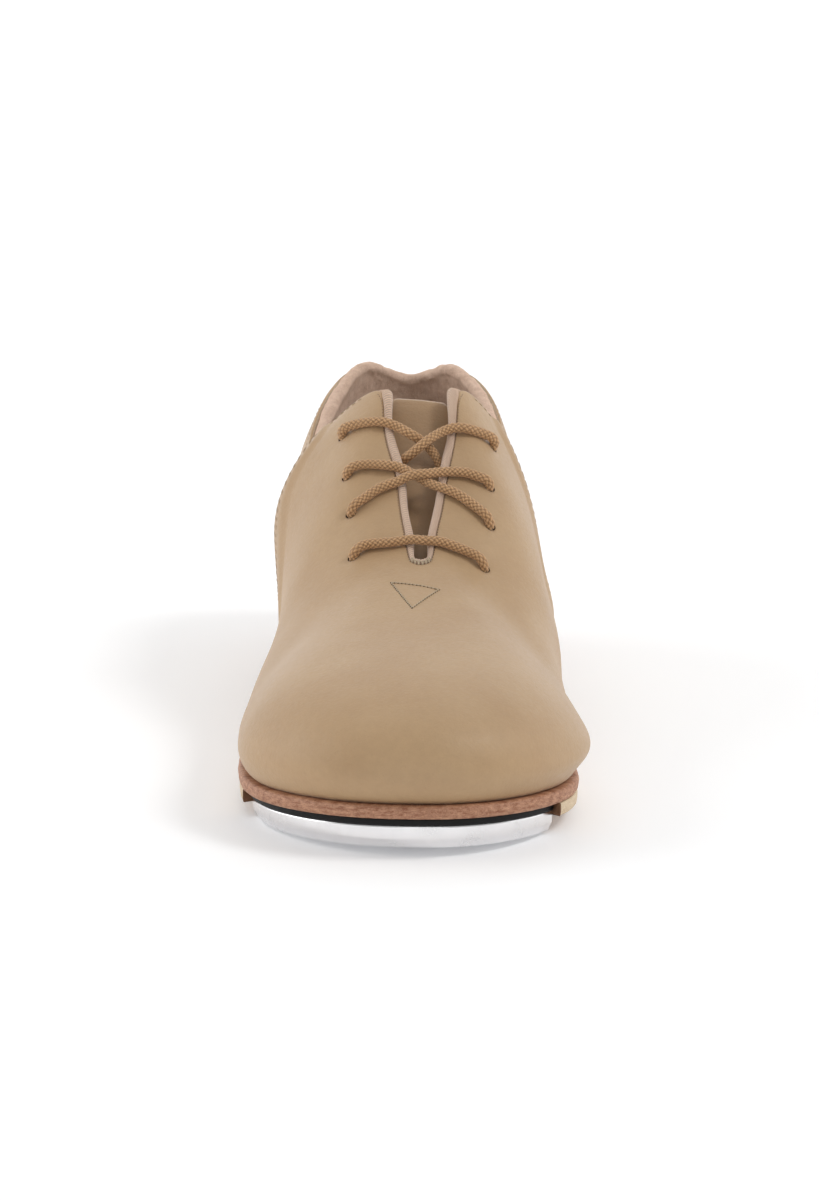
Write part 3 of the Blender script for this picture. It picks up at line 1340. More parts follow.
def top_frame(u, d):
    a, b = PN(u, 9.0 + 0 * u, d), PN(u, 8.8 + 0 * u, d)
    t = a - b
    t /= np.linalg.norm(t, axis=-1)[..., None]
    w = PN(u, 9.0 + 0 * u, d + 0.5) - a
    w -= t * np.sum(w * t, axis=-1)[..., None]
    w /= np.linalg.norm(w, axis=-1)[..., None]
    return a, t, w


nu = count(300)
us = np.linspace(9.15, 20.85, nu)
grow = sstep(us, 9.15, 10.9) * (1 - sstep(us, 19.1, 20.85))
flank = sstep(us, 10.9, 12.2) * (1 - sstep(us, 13.0, 14.2)) + sstep(us, 15.8, 17.0) * (1 - sstep(us, 17.8, 19.1))
rad = 0.55 + 1.40 * grow - 0.1 * flank   # on both flanks the roll sits just inside the leather edge
a0, T0, W0 = top_frame(us, 2.55)
sec = []
wall = np.linspace(4.6, 8.72, count(58))
thick = 1.1 + 0.75 * grow
for k in wall:
    sec.append(PN(us, k + 0 * us, foam_np(us, k) + thick))
nroll = count(34)
for i in range(nroll):
    th = math.radians(-22 + (196 + 22) * i / (nroll - 1))
    c = a0 + T0 * (rad * 0.93 + 0.05 - 0.75 * flank)[:, None] + W0 * (0.5 * flank)[:, None]
    sec.append(c + W0 * (rad * math.cos(th))[:, None] + T0 * (rad * math.sin(th))[:, None])
sec.append(a0 + T0 * (0.25 - 0.35 * flank)[:, None] - W0 * (0.95 + 0.1 * flank)[:, None])
sec.append(PN(us, 8.85 + 0 * us, 1.5 + 0 * us))
for k in np.linspace(8.6, 4.6, 12):
    sec.append(PN(us, k + 0 * us, np.maximum(foam_np(us, k) - 0.05, 1.5)))
g = np.stack(sec, axis=1)                     # (u, section, 3)
for _ in range(3):                            # ease the joint between wall and roll
    m = slice(len(wall) - 6, len(wall) + 8)
    q = g.copy()
    q[:, m] = 0.25 * g[:, m.start - 1:m.stop - 1] + 0.5 * g[:, m] + 0.25 * g[:, m.start + 1:m.stop + 1]
    g = q
nrm = normals_of(g)
vis = np.zeros(g.shape[1]); vis[:len(wall) + nroll - 2] = 1.0
mid = PN(us, 7.0 + 0 * us, 2.0 + 0 * us)
away = g[:, 10] - PN(us, wall[10] + 0 * us, 0 * us)
if np.mean(np.sum(nrm[:, 10] * away, axis=-1)) < 0:
    nrm = -nrm
nap = 0.20 * vnoise(g, 2.3, 3) + 0.13 * vnoise(g, 1.15, 4) + 0.35 * vnoise(g, 11.0, 6)
g = g + nrm * (nap * vis[None, :])[..., None]
ns = g.shape[1]
faces = [tuple(q) for q in grid_quads(nu, ns, wrap_j=True)]
faces += [tuple(range(ns))[::-1], tuple((nu - 1) * ns + j for j in range(ns))]
deep = np.zeros(g.shape[:2])
deep[:, :len(wall)] = np.linspace(1.0, 0.0, len(wall))[None]
collar = mesh_piece("collar_pile", g.reshape(-1, 3), faces, [M_PILE], hgt=deep.ravel())
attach(collar, "rear")
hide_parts("collar_lining")

# ================= knit binding of the slit =================
SECT = np.array([(-2.6, 1.47), (-1.1, 1.45), (-0.80, 1.15), (-0.80, 0.55), (-0.60, 0.05), (0.0, -0.28), (0.8, -0.38), (1.6, -0.25), (2.3, 0.12),
                 (2.62, 0.8), (2.55, 1.6), (2.1, 2.2), (1.2, 2.5), (-1.0, 2.56), (-2.6, 2.52)])


def dense_loop(p, n):
    """closed smooth resampling of a section"""
    q = np.vstack([p[-3:], p, p[:4]])
    t = np.concatenate([[0], np.cumsum(np.linalg.norm(np.diff(q, axis=0), axis=1) ** 0.5)])
    sx, sy = Spline(list(t), list(q[:, 0])), Spline(list(t), list(q[:, 1]))
    x = np.linspace(t[3], t[3 + len(p)], n, endpoint=False)
    return np.array([(sx(float(a)), sy(float(a))) for a in x])


sec = dense_loop(SECT, count(40))
tt = np.linspace(-9.2, 9.2, 900)
edge = PN(tt, 9.0 + 0 * tt, 0 * tt)
run_ = np.concatenate([[0], np.cumsum(np.linalg.norm(np.diff(edge, axis=0), axis=1))])
nb = count(int(run_[-1] / 0.11))
ubs = np.interp(np.linspace(0, run_[-1], nb), run_, tt)
sb_ = np.linspace(0, run_[-1], nb)
edge = PN(ubs, 9.0 + 0 * ubs, 0 * ubs)
_, Tb, Wb = top_frame(ubs, 0.0)
k3 = np.ones(9) / 9
for arr in (Tb, Wb):
    for c in range(3):
        arr[:, c] = np.convolve(np.pad(arr[:, c], 4, mode="edge"), k3, mode="valid")
    arr /= np.linalg.norm(arr, axis=1)[:, None]
au = np.abs(ubs)
reach = (2.62 + 0.22 * vnoise(edge, 9.0, 2)) * (0.84 + 0.16 * sstep(au, 2.6, 4.5))
wide_ = np.linalg.norm(PN(au, 9.0 + 0 * au) - PN(-au, 9.0 + 0 * au), axis=-1)
reach *= 1 + 0.30 * sstep(au, 0.8, 2.2) * (1 - sstep(au, 3.8, 5.5))
reach = np.where(au > 1.2, np.minimum(reach, 0.5 * wide_ + 0.06), reach)
reach *= 1 - 0.72 * sstep(au, 8.6, 9.05)
reach = np.where(ubs < 0, reach * (1 + 0.22 * sstep(au, 7.6, 8.6) * (1 - sstep(au, 8.8, 9.1))), reach)
sink = 0.95 * sstep(au, 8.62, 8.95) + 0.6 * sstep(au, 8.95, 9.15)
tpos = np.where(sec[:, 0] > 0, sec[:, 0][None] * (reach / 2.62)[:, None], sec[:, 0][None])
dpos = sec[None, :, 1] + sink[:, None]
face_out = np.clip((1.6 - sec[:, 1]) / 1.6, 0, 1) * (sec[:, 0] > -0.85)
rib = np.sin((sb_[:, None] * 1.0 + tpos * 0.5) * 2 * np.pi / 0.85)
dpos = dpos - 0.12 * rib * face_out[None]
g = edge[:, None] + Tb[:, None] * tpos[..., None] + Wb[:, None] * dpos[..., None]
g = g + (0.09 * vnoise(g, 1.0, 8) * face_out[None])[..., None] * -Wb[:, None]
nb, ns = g.shape[:2]
faces = [tuple(q) for q in grid_quads(nb, ns, wrap_j=True)]
faces += [tuple(range(ns))[::-1], tuple((nb - 1) * ns + j for j in range(ns))]
suv = np.stack([np.broadcast_to(sb_[:, None], (nb, ns)), tpos], -1).reshape(-1, 2)
binding = mesh_piece("slit_knit_binding", g.reshape(-1, 3), faces, [M_KNIT], suv=suv, hgt=(0.5 + 0.5 * rib).ravel())
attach(binding, "rear")
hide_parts("slit_binding")

# ================= tongue =================
TOP_LINE = Spline([-1.0, -0.75, -0.5, -0.4, -0.2, 0.0, 0.2, 0.4, 0.5, 0.75, 1.0], [8.72, 8.98, 9.17, 9.17, 9.03, 8.98, 8.90, 8.97, 9.0, 8.9, 8.68])


def tongue_grid(d, nu_, nw, wide, top_trim=0.0):
    us_ = np.linspace(3.75, 9.2 - top_trim, nu_)
    ws = edged(nw, True, True, 27 * wide) * 2 - 1
    out = np.zeros((nu_, len(ws), 3))
    for i, u in enumerate(us_):
        for j, w in enumerate(ws):
            ww = float(w) * wide
            # rounded upper corners
            t_end = TOP_LINE(float(w)) - top_trim
            uu = 3.75 + (t_end - 3.75) * (u - 3.75) / (9.2 - top_trim - 3.75)
            if uu < 4.2:
                a, b = np.array(tongue_point(4.2, ww, d)), np.array(tongue_point(4.35, ww, d))
                out[i, j] = a + (a - b) / np.linalg.norm(a - b) * (4.2 - uu) * 18.0
            else:
                out[i, j] = tongue_point(float(uu), ww, d)
    return out


nu_, nw = count(64), count(36)
tg = tongue_grid(6.8, nu_, nw, 1.0)
n_ = normals_of(tg)
if np.mean(n_[..., 2]) < 0:
    n_ = -n_
ta, tb_ = from_ends(tg, 0)
wa, wb_ = from_ends(tg, 1)
rr = np.minimum(np.minimum(wa, wb_), tb_)
wav = 0.25 * vnoise(tg, 16.0, 11)
o_ = tg + n_ * (wav - rounding(rr, 0.45))[..., None]
i_ = tg + n_ * (wav - 1.25 + rounding(rr, 0.15))[..., None]
v, f, kinds = shell_arrays(o_, i_)
tongue = mesh_piece("tongue_leather", v, f, [M_TONGUE, M_FLESH, M_EDGE], face_mat=kinds, suv=np.concatenate([np.stack([ta, wa], -1).reshape(-1, 2)] * 2))
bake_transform(tongue)
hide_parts("tongue")
j0, j1 = 2, tg.shape[1] - 2
o_ = (tg + n_ * (wav - 1.3)[..., None])[:-1, j0:j1]
i_ = (tg + n_ * (wav - 2.2)[..., None])[:-1, j0:j1]
v, f, kinds = shell_arrays(o_, i_)
tlin = mesh_piece("tongue_lining_cloth", v, f, [M_LINING])
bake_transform(tlin)
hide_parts("tongue_lining")

# ================= lace =================
TIP = 14.0
LP = lace_points()
cut_ = next(i for i, q in enumerate(LP) if abs(q[0] - 1.9) < 1e-6 and abs(q[1] - 147.2) < 1e-6)
LP = LP[:cut_ - 2] + [(8.4, 151.5, 79.4), (4.6, 148.0, 77.7), (1.6, 147.0, 75.3), (-1.2, 147.2, 73.1), P(7.3, 9.0, 4.8), P(7.15, 8.68, 5.1),
                      P(6.95, 8.45, LACE_IN), P(6.65, 8.33, LACE_IN), P(6.2, 8.3, LACE_IN), P(5.7, 8.3, LACE_IN), P(5.2, 8.32, LACE_IN)]
path = smooth_path(LP, 18)
lace_step = 0.15
pts, ss = resample(path, lace_step)
core_i = np.where((ss > TIP) & (ss < ss[-1] - TIP))[0]
pl = pts[core_i]
for _ in range(4):
    pl[1:-1] = 0.25 * pl[:-2] + 0.5 * pl[1:-1] + 0.25 * pl[2:]
t_, a_, b_ = frames(pl)
nth = 40
th = np.linspace(0, 2 * np.pi, nth, endpoint=False)
s_ = ss[core_i]
ST, PITCH = 6, 1.5
A = (ST * th[None] / (2 * np.pi) + s_[:, None] / PITCH)
B = (ST * th[None] / (2 * np.pi) - s_[:, None] / PITCH)
fa, fb = 2 * (A % 1) - 1, 2 * (B % 1) - 1
ha, hb = np.sqrt(1 - fa ** 2 * 0.98), np.sqrt(1 - fb ** 2 * 0.98)
even = ((np.floor(A) + np.floor(B)) % 2 == 0)
h = np.where(even, np.maximum(ha * (1 - 0.12 * fb ** 2), hb * 0.62), np.maximum(hb * (1 - 0.12 * fa ** 2), ha * 0.62))
rough_ = 0.05 * vnoise(np.stack([s_[:, None] + 0 * th[None], th[None] * 1.35 + 0 * s_[:, None], 0 * A], -1), 0.8, 21)
R = LACE_R - 0.32 + 0.38 * h ** 2.2 + rough_
slow = 1 + 0.03 * np.sin(s_ / 3.7)
ring = pl[:, None] + R[..., None] * slow[:, None, None] * (np.cos(th)[None, :, None] * a_[:, None] + np.sin(th)[None, :, None] * b_[:, None])
nl = len(pl)
faces = [tuple(q) for q in grid_quads(nl, nth, wrap_j=True)] + [tuple(range(nth))[::-1], tuple((nl - 1) * nth + j for j in range(nth))]
suv = np.stack([np.broadcast_to(s_[:, None], A.shape), np.broadcast_to(th[None] * 1.35, A.shape)], -1).reshape(-1, 2)
lace = mesh_piece("lace_cord", ring.reshape(-1, 3), faces, [M_LACE], suv=suv, hgt=h.ravel())
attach(lace, "rear")
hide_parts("lace")
tips = []
for sel in (ss <= TIP + 0.6, ss >= ss[-1] - TIP - 0.6):
    p_, q_ = resample(pts[sel], 0.4)
    x = q_ / q_[-1]
    r_ = 1.22 + 0.10 * (np.abs(x - 0.12) < 0.03) + 0.10 * (np.abs(x - 0.88) < 0.03) + 0.06 * (np.abs(x - 0.5) < 0.03)
    tips.append(rod_arrays(p_, r_, sides=18))
v, f = join_arrays(tips)
tipo = mesh_piece("lace_end_tips", v, f, [M_TIP])
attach(tipo, "rear")
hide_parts("lace_tips")


# ================= stitching =================
def on_surface(us_, ks_, d):
    p = PN(us_, ks_, d)
    n = p - PN(us_, ks_, d + 0.4)
    return p, n / np.linalg.norm(n, axis=-1)[..., None]


def mm_per_u(u, k):
    return np.linalg.norm(PN(u + 0.02, k) - PN(u - 0.02, k), axis=-1) / 0.04


def thread_piece(name, parts, mat, replaces=()):
    v, f = join_arrays(parts)
    ob = mesh_piece(name, v, f, [mat])
    if replaces:
        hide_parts(*replaces)
    return ob


lap_parts = []
kk = np.linspace(1.25, 8.93, 500)
for sgn in (1, -1):
    for dist in (2.1, 4.3):
        u_ = sgn * (seam(kk) - dist / mm_per_u(sgn * seam(kk), kk))
        p, n = on_surface(u_, kk, 0 * kk)
        w_ = dent(p) - sway(p)
        lp_ = 1 - sstep(np.full_like(kk, dist), 6.0, 10.5)
        p = p - n * (w_ - 1.08 * lp_)[:, None]
        lap_parts += stitch_run(p, n, length=1.9, gap=0.8, radius=0.13, sink=0.11)
seams = thread_piece("side_seam_stitches", lap_parts, M_THREAD2)
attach(seams, "rear")

tops = []
uu = np.linspace(10.75, 19.25, 700)
kq_ = np.array([k_at(float(u), 2.0) for u in uu[::10]])
kq_ = np.interp(uu, uu[::10], kq_)
p, n = on_surface(uu, kq_, 0 * uu)
p = p - n * (dent(p) - sway(p))[:, None]
tops += stitch_run(p, n, length=1.9, gap=0.8, radius=0.13, sink=0.11)
for sgn in (1, -1):
    uu = sgn * np.linspace(9.25, 10.45, 160)
    kq_ = np.array([k_at(float(u), 1.9) for u in uu])
    p, n = on_surface(uu, kq_, 0 * uu)
    p = p - n * (dent(p) - sway(p))[:, None]
    tops += stitch_run(p, n, length=1.8, gap=0.7, radius=0.16, sink=0.10)
for sgn in (-1, 1):
    kk = np.linspace(1.6, 8.8, 400)
    u_ = 15 + sgn * (half(kk) - 1.6 / mm_per_u(15 + 0 * kk, kk))
    p, n = on_surface(u_, kk, 0 * kk)
    p = p - n * (-sway(p) - 0.98)[:, None]
    tops += stitch_run(p, n, length=1.9, gap=0.8, radius=0.13, sink=0.11)
topst = thread_piece("topline_stitches", tops, M_THREAD2)
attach(topst, "rear")

slit = []
uu = np.linspace(-8.9, 8.9, 1200)
kq_ = np.array([k_at(float(u), 1.25) for u in uu[::8]])
kq_ = np.interp(uu, uu[::8], kq_)
p, n = on_surface(uu, kq_, 0 * uu)
p = p - n * (dent(p) - sway(p))[:, None]
slit += stitch_run(p, n, length=0.62, gap=0.48, radius=0.13, sink=0.11)
slitst = thread_piece("slit_edge_stitches", slit, M_THREAD3)
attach(slitst, "rear")

bars = []
ZU = np.linspace(-2.5, 2.5, 15)
zig = []
for i, u_ in enumerate(ZU):
    u_ = float(u_)
    if i % 2:
        e_, T_, W_ = top_frame(np.array([u_]), 0.0)
        zig.append(((e_ + T_ * 0.25 - W_ * 0.52)[0], -W_[0]))
    else:
        k_ = k_at(u_, 1.55)
        q_, w_ = on_surface(np.array([u_]), np.array([k_]), np.array([0.0]))
        zig.append((q_[0] + w_[0] * 0.12, w_[0]))
for (a, na), (b, nb_) in zip(zig, zig[1:]):
    m_ = (a + b) / 2 + (na + nb_) * 0.10
    bars.append(rod_arrays(np.array([a - na * 0.4, a, m_, b, b - nb_ * 0.4]), 0.15, sides=7))
barst = thread_piece("slit_bar_stitches", bars, M_THREAD)
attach(barst, "rear")

tack, dots = [], []


def straight_on_form(uk0, uk1, n):
    """surface points and normals along a straight chord between two surface points, pressed onto the form"""
    a, b = np.array(P(*uk0)), np.array(P(*uk1))
    x = np.linspace(0.0, 1.0, n)
    line = a + (b - a) * x[:, None]
    u_, k_ = uk0[0] + (uk1[0] - uk0[0]) * x, uk0[1] + (uk1[1] - uk0[1]) * x
    for _ in range(30):
        p = PN(u_, k_, 0 * u_)
        du = (PN(u_ + 0.01, k_, 0 * u_) - p) / 0.01
        dk = (PN(u_, np.minimum(k_ + 0.01, 9.0), 0 * u_) - p) / 0.01
        r_ = line - p
        a11, a12, a22 = np.sum(du * du, 1), np.sum(du * dk, 1), np.sum(dk * dk, 1) + 1e-6
        b1, b2 = np.sum(du * r_, 1), np.sum(dk * r_, 1)
        det = a11 * a22 - a12 * a12 + 1e-6
        u_ = u_ + np.clip((a22 * b1 - a12 * b2) / det, -0.2, 0.2)
        k_ = np.clip(k_ + np.clip((a11 * b2 - a12 * b1) / det, -0.1, 0.1), 6.0, 8.97)
    return on_surface(u_, k_, 0 * u_)


for p0, p1 in zip(TACK, TACK[1:] + TACK[:1]):
    p, n = straight_on_form(p0, p1, 80)
    p = p - n * (dent(p) - sway(p))[:, None]
    L_ = np.sum(np.linalg.norm(np.diff(p, axis=0), axis=1))
    m = int(round(L_ / 1.08))
    parts = stitch_run(p, n, length=L_ / m * 0.66, gap=L_ / m * 0.34, radius=0.2, sink=0.02, start=0.05)
    tack += parts
    Lc = np.concatenate([[0], np.cumsum(np.linalg.norm(np.diff(p, axis=0), axis=1))])
    for i in range(m + 1):
        s0 = min(i * L_ / m, L_)
        c = np.array([np.interp(s0, Lc, p[:, q]) for q in range(3)])
        nn = np.array([np.interp(s0, Lc, n[:, q]) for q in range(3)])
        dots.append(rod_arrays(np.array([c - nn * 0.5, c - nn * 0.1, c + nn * 0.035]), np.array([0.22, 0.3, 0.3]), sides=9))
tackst = thread_piece("tack_stitches", tack, M_THREAD, replaces=("tack_stitch",))
over_ball(tackst)
dotst = thread_piece("tack_needle_holes", dots, M_HOLE)
over_ball(dotst)


# ================= flat layers of the bottom =================
def outline_np(us_, inset=0.0):
    return np.array([outline(float(u), inset) for u in us_])


def even_outline(u0, u1, inset, pitch):
    us_ = np.linspace(u0, u1, 600)
    p = outline_np(us_, inset)
    L = np.concatenate([[0], np.cumsum(np.linalg.norm(np.diff(p, axis=0), axis=1))])
    n = max(int(L[-1] / pitch), 8)
    return outline_np(np.interp(np.linspace(0, L[-1], n + 1), L, us_), inset)


PT = 1.0
full = even_outline(0, N, 0.0, PT)[:-1]
MS = [(1.5, 1.0), (0.95, 0.985), (0.52, 0.94), (0.26, 0.87), (0.08, 0.76), (0.0, 0.62), (0.0, 0.46), (0.08, 0.3), (0.24, 0.16), (0.5, 0.06), (0.95, 0.0)]


def scuff(ob, amount, scale, seed, zcap=None):
    """small uneven dents along a cut edge"""
    me = ob.data
    co = np.empty(len(me.vertices) * 3, np.float32)
    me.vertices.foreach_get("co", co)
    no = np.empty(len(me.vertices) * 3, np.float32)
    me.vertices.foreach_get("normal", no)
    co, no = co.reshape(-1, 3).astype(float), no.reshape(-1, 3).astype(float)
    w = np.sqrt(np.clip(1 - no[:, 2] ** 2, 0, 1))
    d = vnoise(co * 1000, scale, seed) + 0.5 * vnoise(co * 1000, scale * 0.35, seed + 1)
    co += no * (d * amount * 0.001 * w)[:, None]
    me.vertices.foreach_set("co", co.astype(np.float32).ravel())
    me.update()


midsole = ring_solid("midsole_board", full, Z_MB, z_mt, MS, ((1.0, 35.0), (0.0, 232.0)), [M_WELT, M_WELT, M_WELT], cap_steps=14)
scuff(midsole, 0.10, 2.4, 31)
scuff(midsole, 0.09, 7.0, 33)
over_ball(midsole)
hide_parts("midsole_front", "midsole_rear")

sockp = even_outline(0, N, 5.6, PT * 1.3)[:-1]
sock = ring_solid("sock_liner_pad", sockp, lambda y: z_mt(y) + 6.3, lambda y: z_mt(y) + 8.8, [(0.7, 1.0), (0.25, 0.94), (0.0, 0.7), (0.0, 0.2), (0.3, 0.0)],
                  ((1.0, 40.0), (0.0, 228.0)), [M_SOCK, M_SOCK, M_SOCK], cap_steps=14)
over_ball(sock)
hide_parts("sock_liner_front", "sock_liner_rear")

REAR_EDGE = Spline([-46, -30, 0, 20, 30, 38, 46], [40.0, 49.5, 55.0, 46.5, 36.0, 24.5, 12.0])


def edge_cross(inset, off, lo, hi):
    f_ = lambda u: outline(u, inset)[1] - REAR_EDGE(outline(u, inset)[0]) - off
    a, b = lo, hi
    fa_ = f_(a)
    for _ in range(50):
        m = (a + b) / 2
        if (f_(m) > 0) == (fa_ > 0):
            a = m
        else:
            b = m
    return (a + b) / 2


def rear_edge_line(p0, p1, off, pitch):
    n = max(int(abs(p1[0] - p0[0]) / pitch), 8)
    xs = np.linspace(p0[0], p1[0], n + 1)
    q = np.array([(x, REAR_EDGE(float(x)) + off) for x in xs])
    q[0], q[-1] = p0, p1
    return q


ul, um = edge_cross(0.4, 0.8, 2, 7), edge_cross(0.4, 0.8, 23, 29)
ringp = even_outline(ul, um, 0.4, PT)
front = rear_edge_line(ringp[-1], ringp[0], 0.8, PT)
plan = np.vstack([ringp, front[1:-1]])
sidei = [0] * len(ringp) + [1] * (len(front) - 2)
sidei[0] = sidei[len(ringp) - 1] = 1
OSP = [(0.7, 1.0), (0.2, 0.985), (0.04, 0.92), (0.0, 0.8), (0.0, 0.55), (0.0, 0.3), (0.1, 0.12), (0.35, 0.03), (0.9, 0.0)]
outsole = ring_solid("outsole_leather_board", plan, lambda y: Z_MB(y) - 3.6, lambda y: Z_MB(y) - 0.05, OSP, ((0.0, 75.0), (0.0, 232.0)),
                     [M_SOLE_EDGE, M_CUT, M_SOLE, M_SOLE], cap_steps=14, side_idx=sidei)
scuff(outsole, 0.06, 1.9, 41)
over_ball(outsole)
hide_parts("outsole_front", "outsole_rear")


def tap_plan(inset, pitch):
    a, b = edge_cross(inset, 0.0, 2, 7), edge_cross(inset, 0.0, 23, 29)
    r = even_outline(b - N, a, inset, pitch)
    back = rear_edge_line(r[-1], r[0], 0.0, pitch)
    return np.vstack([r, back[1:-1]])


TAP_Y = Spline([-4, 0, 8, 16, 24, 32, 38, 42, 46, 52, 64], [2.9, 2.55, 1.95, 1.38, 0.85, 0.4, 0.12, 0.0, 0.0, 0.0, 0.0])
tap_low = lambda y: max(TAP_Y(y), 0.0) if y < 42 else 0.0
reso = ring_solid("toe_resonator_board", tap_plan(2.4, PT), lambda y: Z_MB(y) - 2.05, lambda y: Z_MB(y) - 0.05,
                  [(0.4, 1.0), (0.06, 0.93), (0.0, 0.75), (0.0, 0.25), (0.1, 0.06), (0.4, 0.0)], ((1.0, 24.0), (1.0, 42.0)), [M_BOARD, M_BOARD, M_BOARD], cap_steps=10)
scuff(reso, 0.03, 1.7, 51)
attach(reso, "forefoot")
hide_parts("toe_resonator")

TOE_SCREWS = [(2.0, 17.0, 2.25), (-24.0, 40.0, 0.45), (21.0, 38.0, 0.55)]
HEEL_SCREWS = [(-13.0, 212.0, 0.25), (13.0, 212.0, 0.25), (0.0, 238.0, 0.25)]
HEAD_R = 3.4


def turned(name, centre, prof, mats, seg=40):
    """solid of revolution about a vertical axis: prof is [(radius, z)...] from the axis down to the axis"""
    th_ = np.linspace(0, 2 * np.pi, seg, endpoint=False)
    v_, f_ = [], []
    rows = []
    for r, z in prof:
        if r < 1e-6:
            rows.append([len(v_)])
            v_.append((centre[0], centre[1], z))
        else:
            rows.append(list(range(len(v_), len(v_) + seg)))
            v_ += [(centre[0] + r * math.cos(t), centre[1] + r * math.sin(t), z) for t in th_]
    for a, b in zip(rows, rows[1:]):
        for j in range(seg):
            if len(a) == 1:
                f_.append((a[0], b[j], b[(j + 1) % seg]))
            elif len(b) == 1:
                f_.append((a[j], b[0], a[(j + 1) % seg]))
            else:
                f_.append((a[j], b[j], b[(j + 1) % seg], a[(j + 1) % seg]))
    return mesh_piece(name, np.array(v_), f_, mats)


def sink_tool(x, y, z, mats):
    return turned("tool", (x, y), [(0, 60), (1.7, 60), (1.7, z + 2.3), (HEAD_R + 0.2, z + 0.15), (HEAD_R + 0.35, z - 3), (0, z - 3)], mats, 36)


tap = ring_solid("toe_tap_plate", tap_plan(3.0, PT), tap_low, lambda y: Z_MB(y) - 2.1,
                 [(0.5, 1.0), (0.16, 0.985), (0.02, 0.95), (0.0, 0.90), (0.0, 0.66), (0.0, 0.44), (0.06, 0.40), (0.22, 0.36), (0.9, 0.10), (1.1, 0.03), (1.45, 0.0)],
                 ((1.0, 24.0), (1.0, 42.0)), [M_TAP, M_TAP, M_TAP], cap_steps=10)
cut_with(tap, [sink_tool(x, y, z, [M_TAP]) for x, y, z in TOE_SCREWS])
sharp(tap, 38)
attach(tap, "forefoot")
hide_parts("toe_tap")


def screw_parts(x, y, z, top, cross):
    """countersunk screw seen from below: domed rim, cross or slot recess, threaded shank"""
    prof = [(0, z + 0.02), (HEAD_R - 0.25, z), (HEAD_R - 0.06, z + 0.06), (HEAD_R, z + 0.22), (HEAD_R - 0.1, z + 0.36), (1.55, z + 2.35)]
    zz = z + 2.6
    while zz < top - 1.4:
        prof += [(1.5, zz), (1.12, zz + 0.35), (1.5, zz + 0.7)]
        zz += 0.75
    prof += [(1.1, top - 1.2), (0.2, top), (0, top)]
    ob = turned("screw_tmp", (x, y), prof, [M_SCREW], 32)
    tools = []
    for i in range(2 if cross else 1):
        ang = 0.5 + i * math.pi / 2
        c_, s__ = math.cos(ang), math.sin(ang)
        L_, w_ = 2.1, 0.42
        q = [(-L_, -w_), (L_, -w_), (L_, w_), (-L_, w_)]
        v_ = [(x + a * c_ - b * s__, y + a * s__ + b * c_, zz_) for zz_ in (z - 1, z + 1.0) for a, b in q]
        tools.append(mesh_piece("tool", np.array(v_), [(0, 3, 2, 1), (4, 5, 6, 7), (0, 1, 5, 4), (1, 2, 6, 5), (2, 3, 7, 6), (3, 0, 4, 7)], [M_SCREW]))
    cut_with(ob, tools)
    return ob


def joined(name, obs, mats):
    parts, fm = [], []
    for o in obs:
        me = o.data
        vv = np.array([tuple(q.co) for q in me.vertices]) * 1000.0
        vv[:, 1] += Y0
        parts.append((vv, [tuple(pp.vertices) for pp in me.polygons]))
    v_, f_ = join_arrays(parts)
    for o in obs:
        bpy.data.objects.remove(o)
    return mesh_piece(name, v_, f_, mats)


ts = joined("toe_tap_screw_set", [screw_parts(x, y, z, Z_MB(y) + 1.6, True) for x, y, z in TOE_SCREWS], [M_SCREW])
sharp(ts, 30)
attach(ts, "forefoot")
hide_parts("toe_tap_screws")


# ================= heel =================
def heel_u(inset, lo, hi, y):
    a, b = lo, hi
    fa_ = outline(a, inset)[1] > y
    for _ in range(50):
        m = (a + b) / 2
        if (outline(m, inset)[1] > y) == fa_:
            a = m
        else:
            b = m
    return (a + b) / 2


def heel_plan(inset, breast, pitch):
    a, b = heel_u(inset, 10, 14, breast), heel_u(inset, 16, 20, breast)
    r = even_outline(a, b, inset, pitch)
    n = max(int((r[-1][0] - r[0][0]) / pitch), 10)
    fr = np.array([(r[-1][0] + (r[0][0] - r[-1][0]) * i / n, breast + 3.0 * (1 - (2 * i / n - 1) ** 2)) for i in range(n + 1)])
    return np.vstack([r, fr[1:-1]])


SPINE_H = ((0.0, 212.0), (0.0, 234.0))
stackp = [(1.6, 1.0), (1.25, 0.985)]
for i in range(4):
    t0, t1 = 0.97 - i * 0.2425, 0.97 - (i + 1) * 0.2425
    f_in = lambda t: 1.2 + 1.3 * (1 - t)
    stackp += [(f_in(t0) - 0.0, t0), (f_in(t0 - 0.02), t0 - 0.02), (f_in((t0 + t1) / 2) - 0.03, (t0 + t1) / 2), (f_in(t1 + 0.02), t1 + 0.022)]
    if i < 3:
        stackp += [(f_in(t1) + 0.13, t1 + 0.004)]
stackp += [(2.6, 0.0), (3.0, 0.0)]
stackp = [(a, max(b, 0.0)) for a, b in stackp]
heel = ring_solid("heel_stack_leather", heel_plan(0.0, 197.0, PT), lambda y: 9.05, lambda y: Z_MB(y) - 3.65, stackp, SPINE_H, [M_HEEL, M_HEEL, M_HEEL], cap_steps=8)
scuff(heel, 0.05, 2.0, 61)
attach(heel, "rear")
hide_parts("heel_stack")
lift = ring_solid("heel_top_lift_rubber", heel_plan(0.0, 197.0, PT), lambda y: 4.05, lambda y: 9.0,
                  [(3.0, 1.0), (2.6, 0.97), (2.5, 0.9), (2.65, 0.5), (2.85, 0.1), (3.0, 0.03), (3.4, 0.0)], SPINE_H, [M_RUBBER, M_RUBBER, M_RUBBER], cap_steps=8)
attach(lift, "rear")
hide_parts("heel_top_lift")
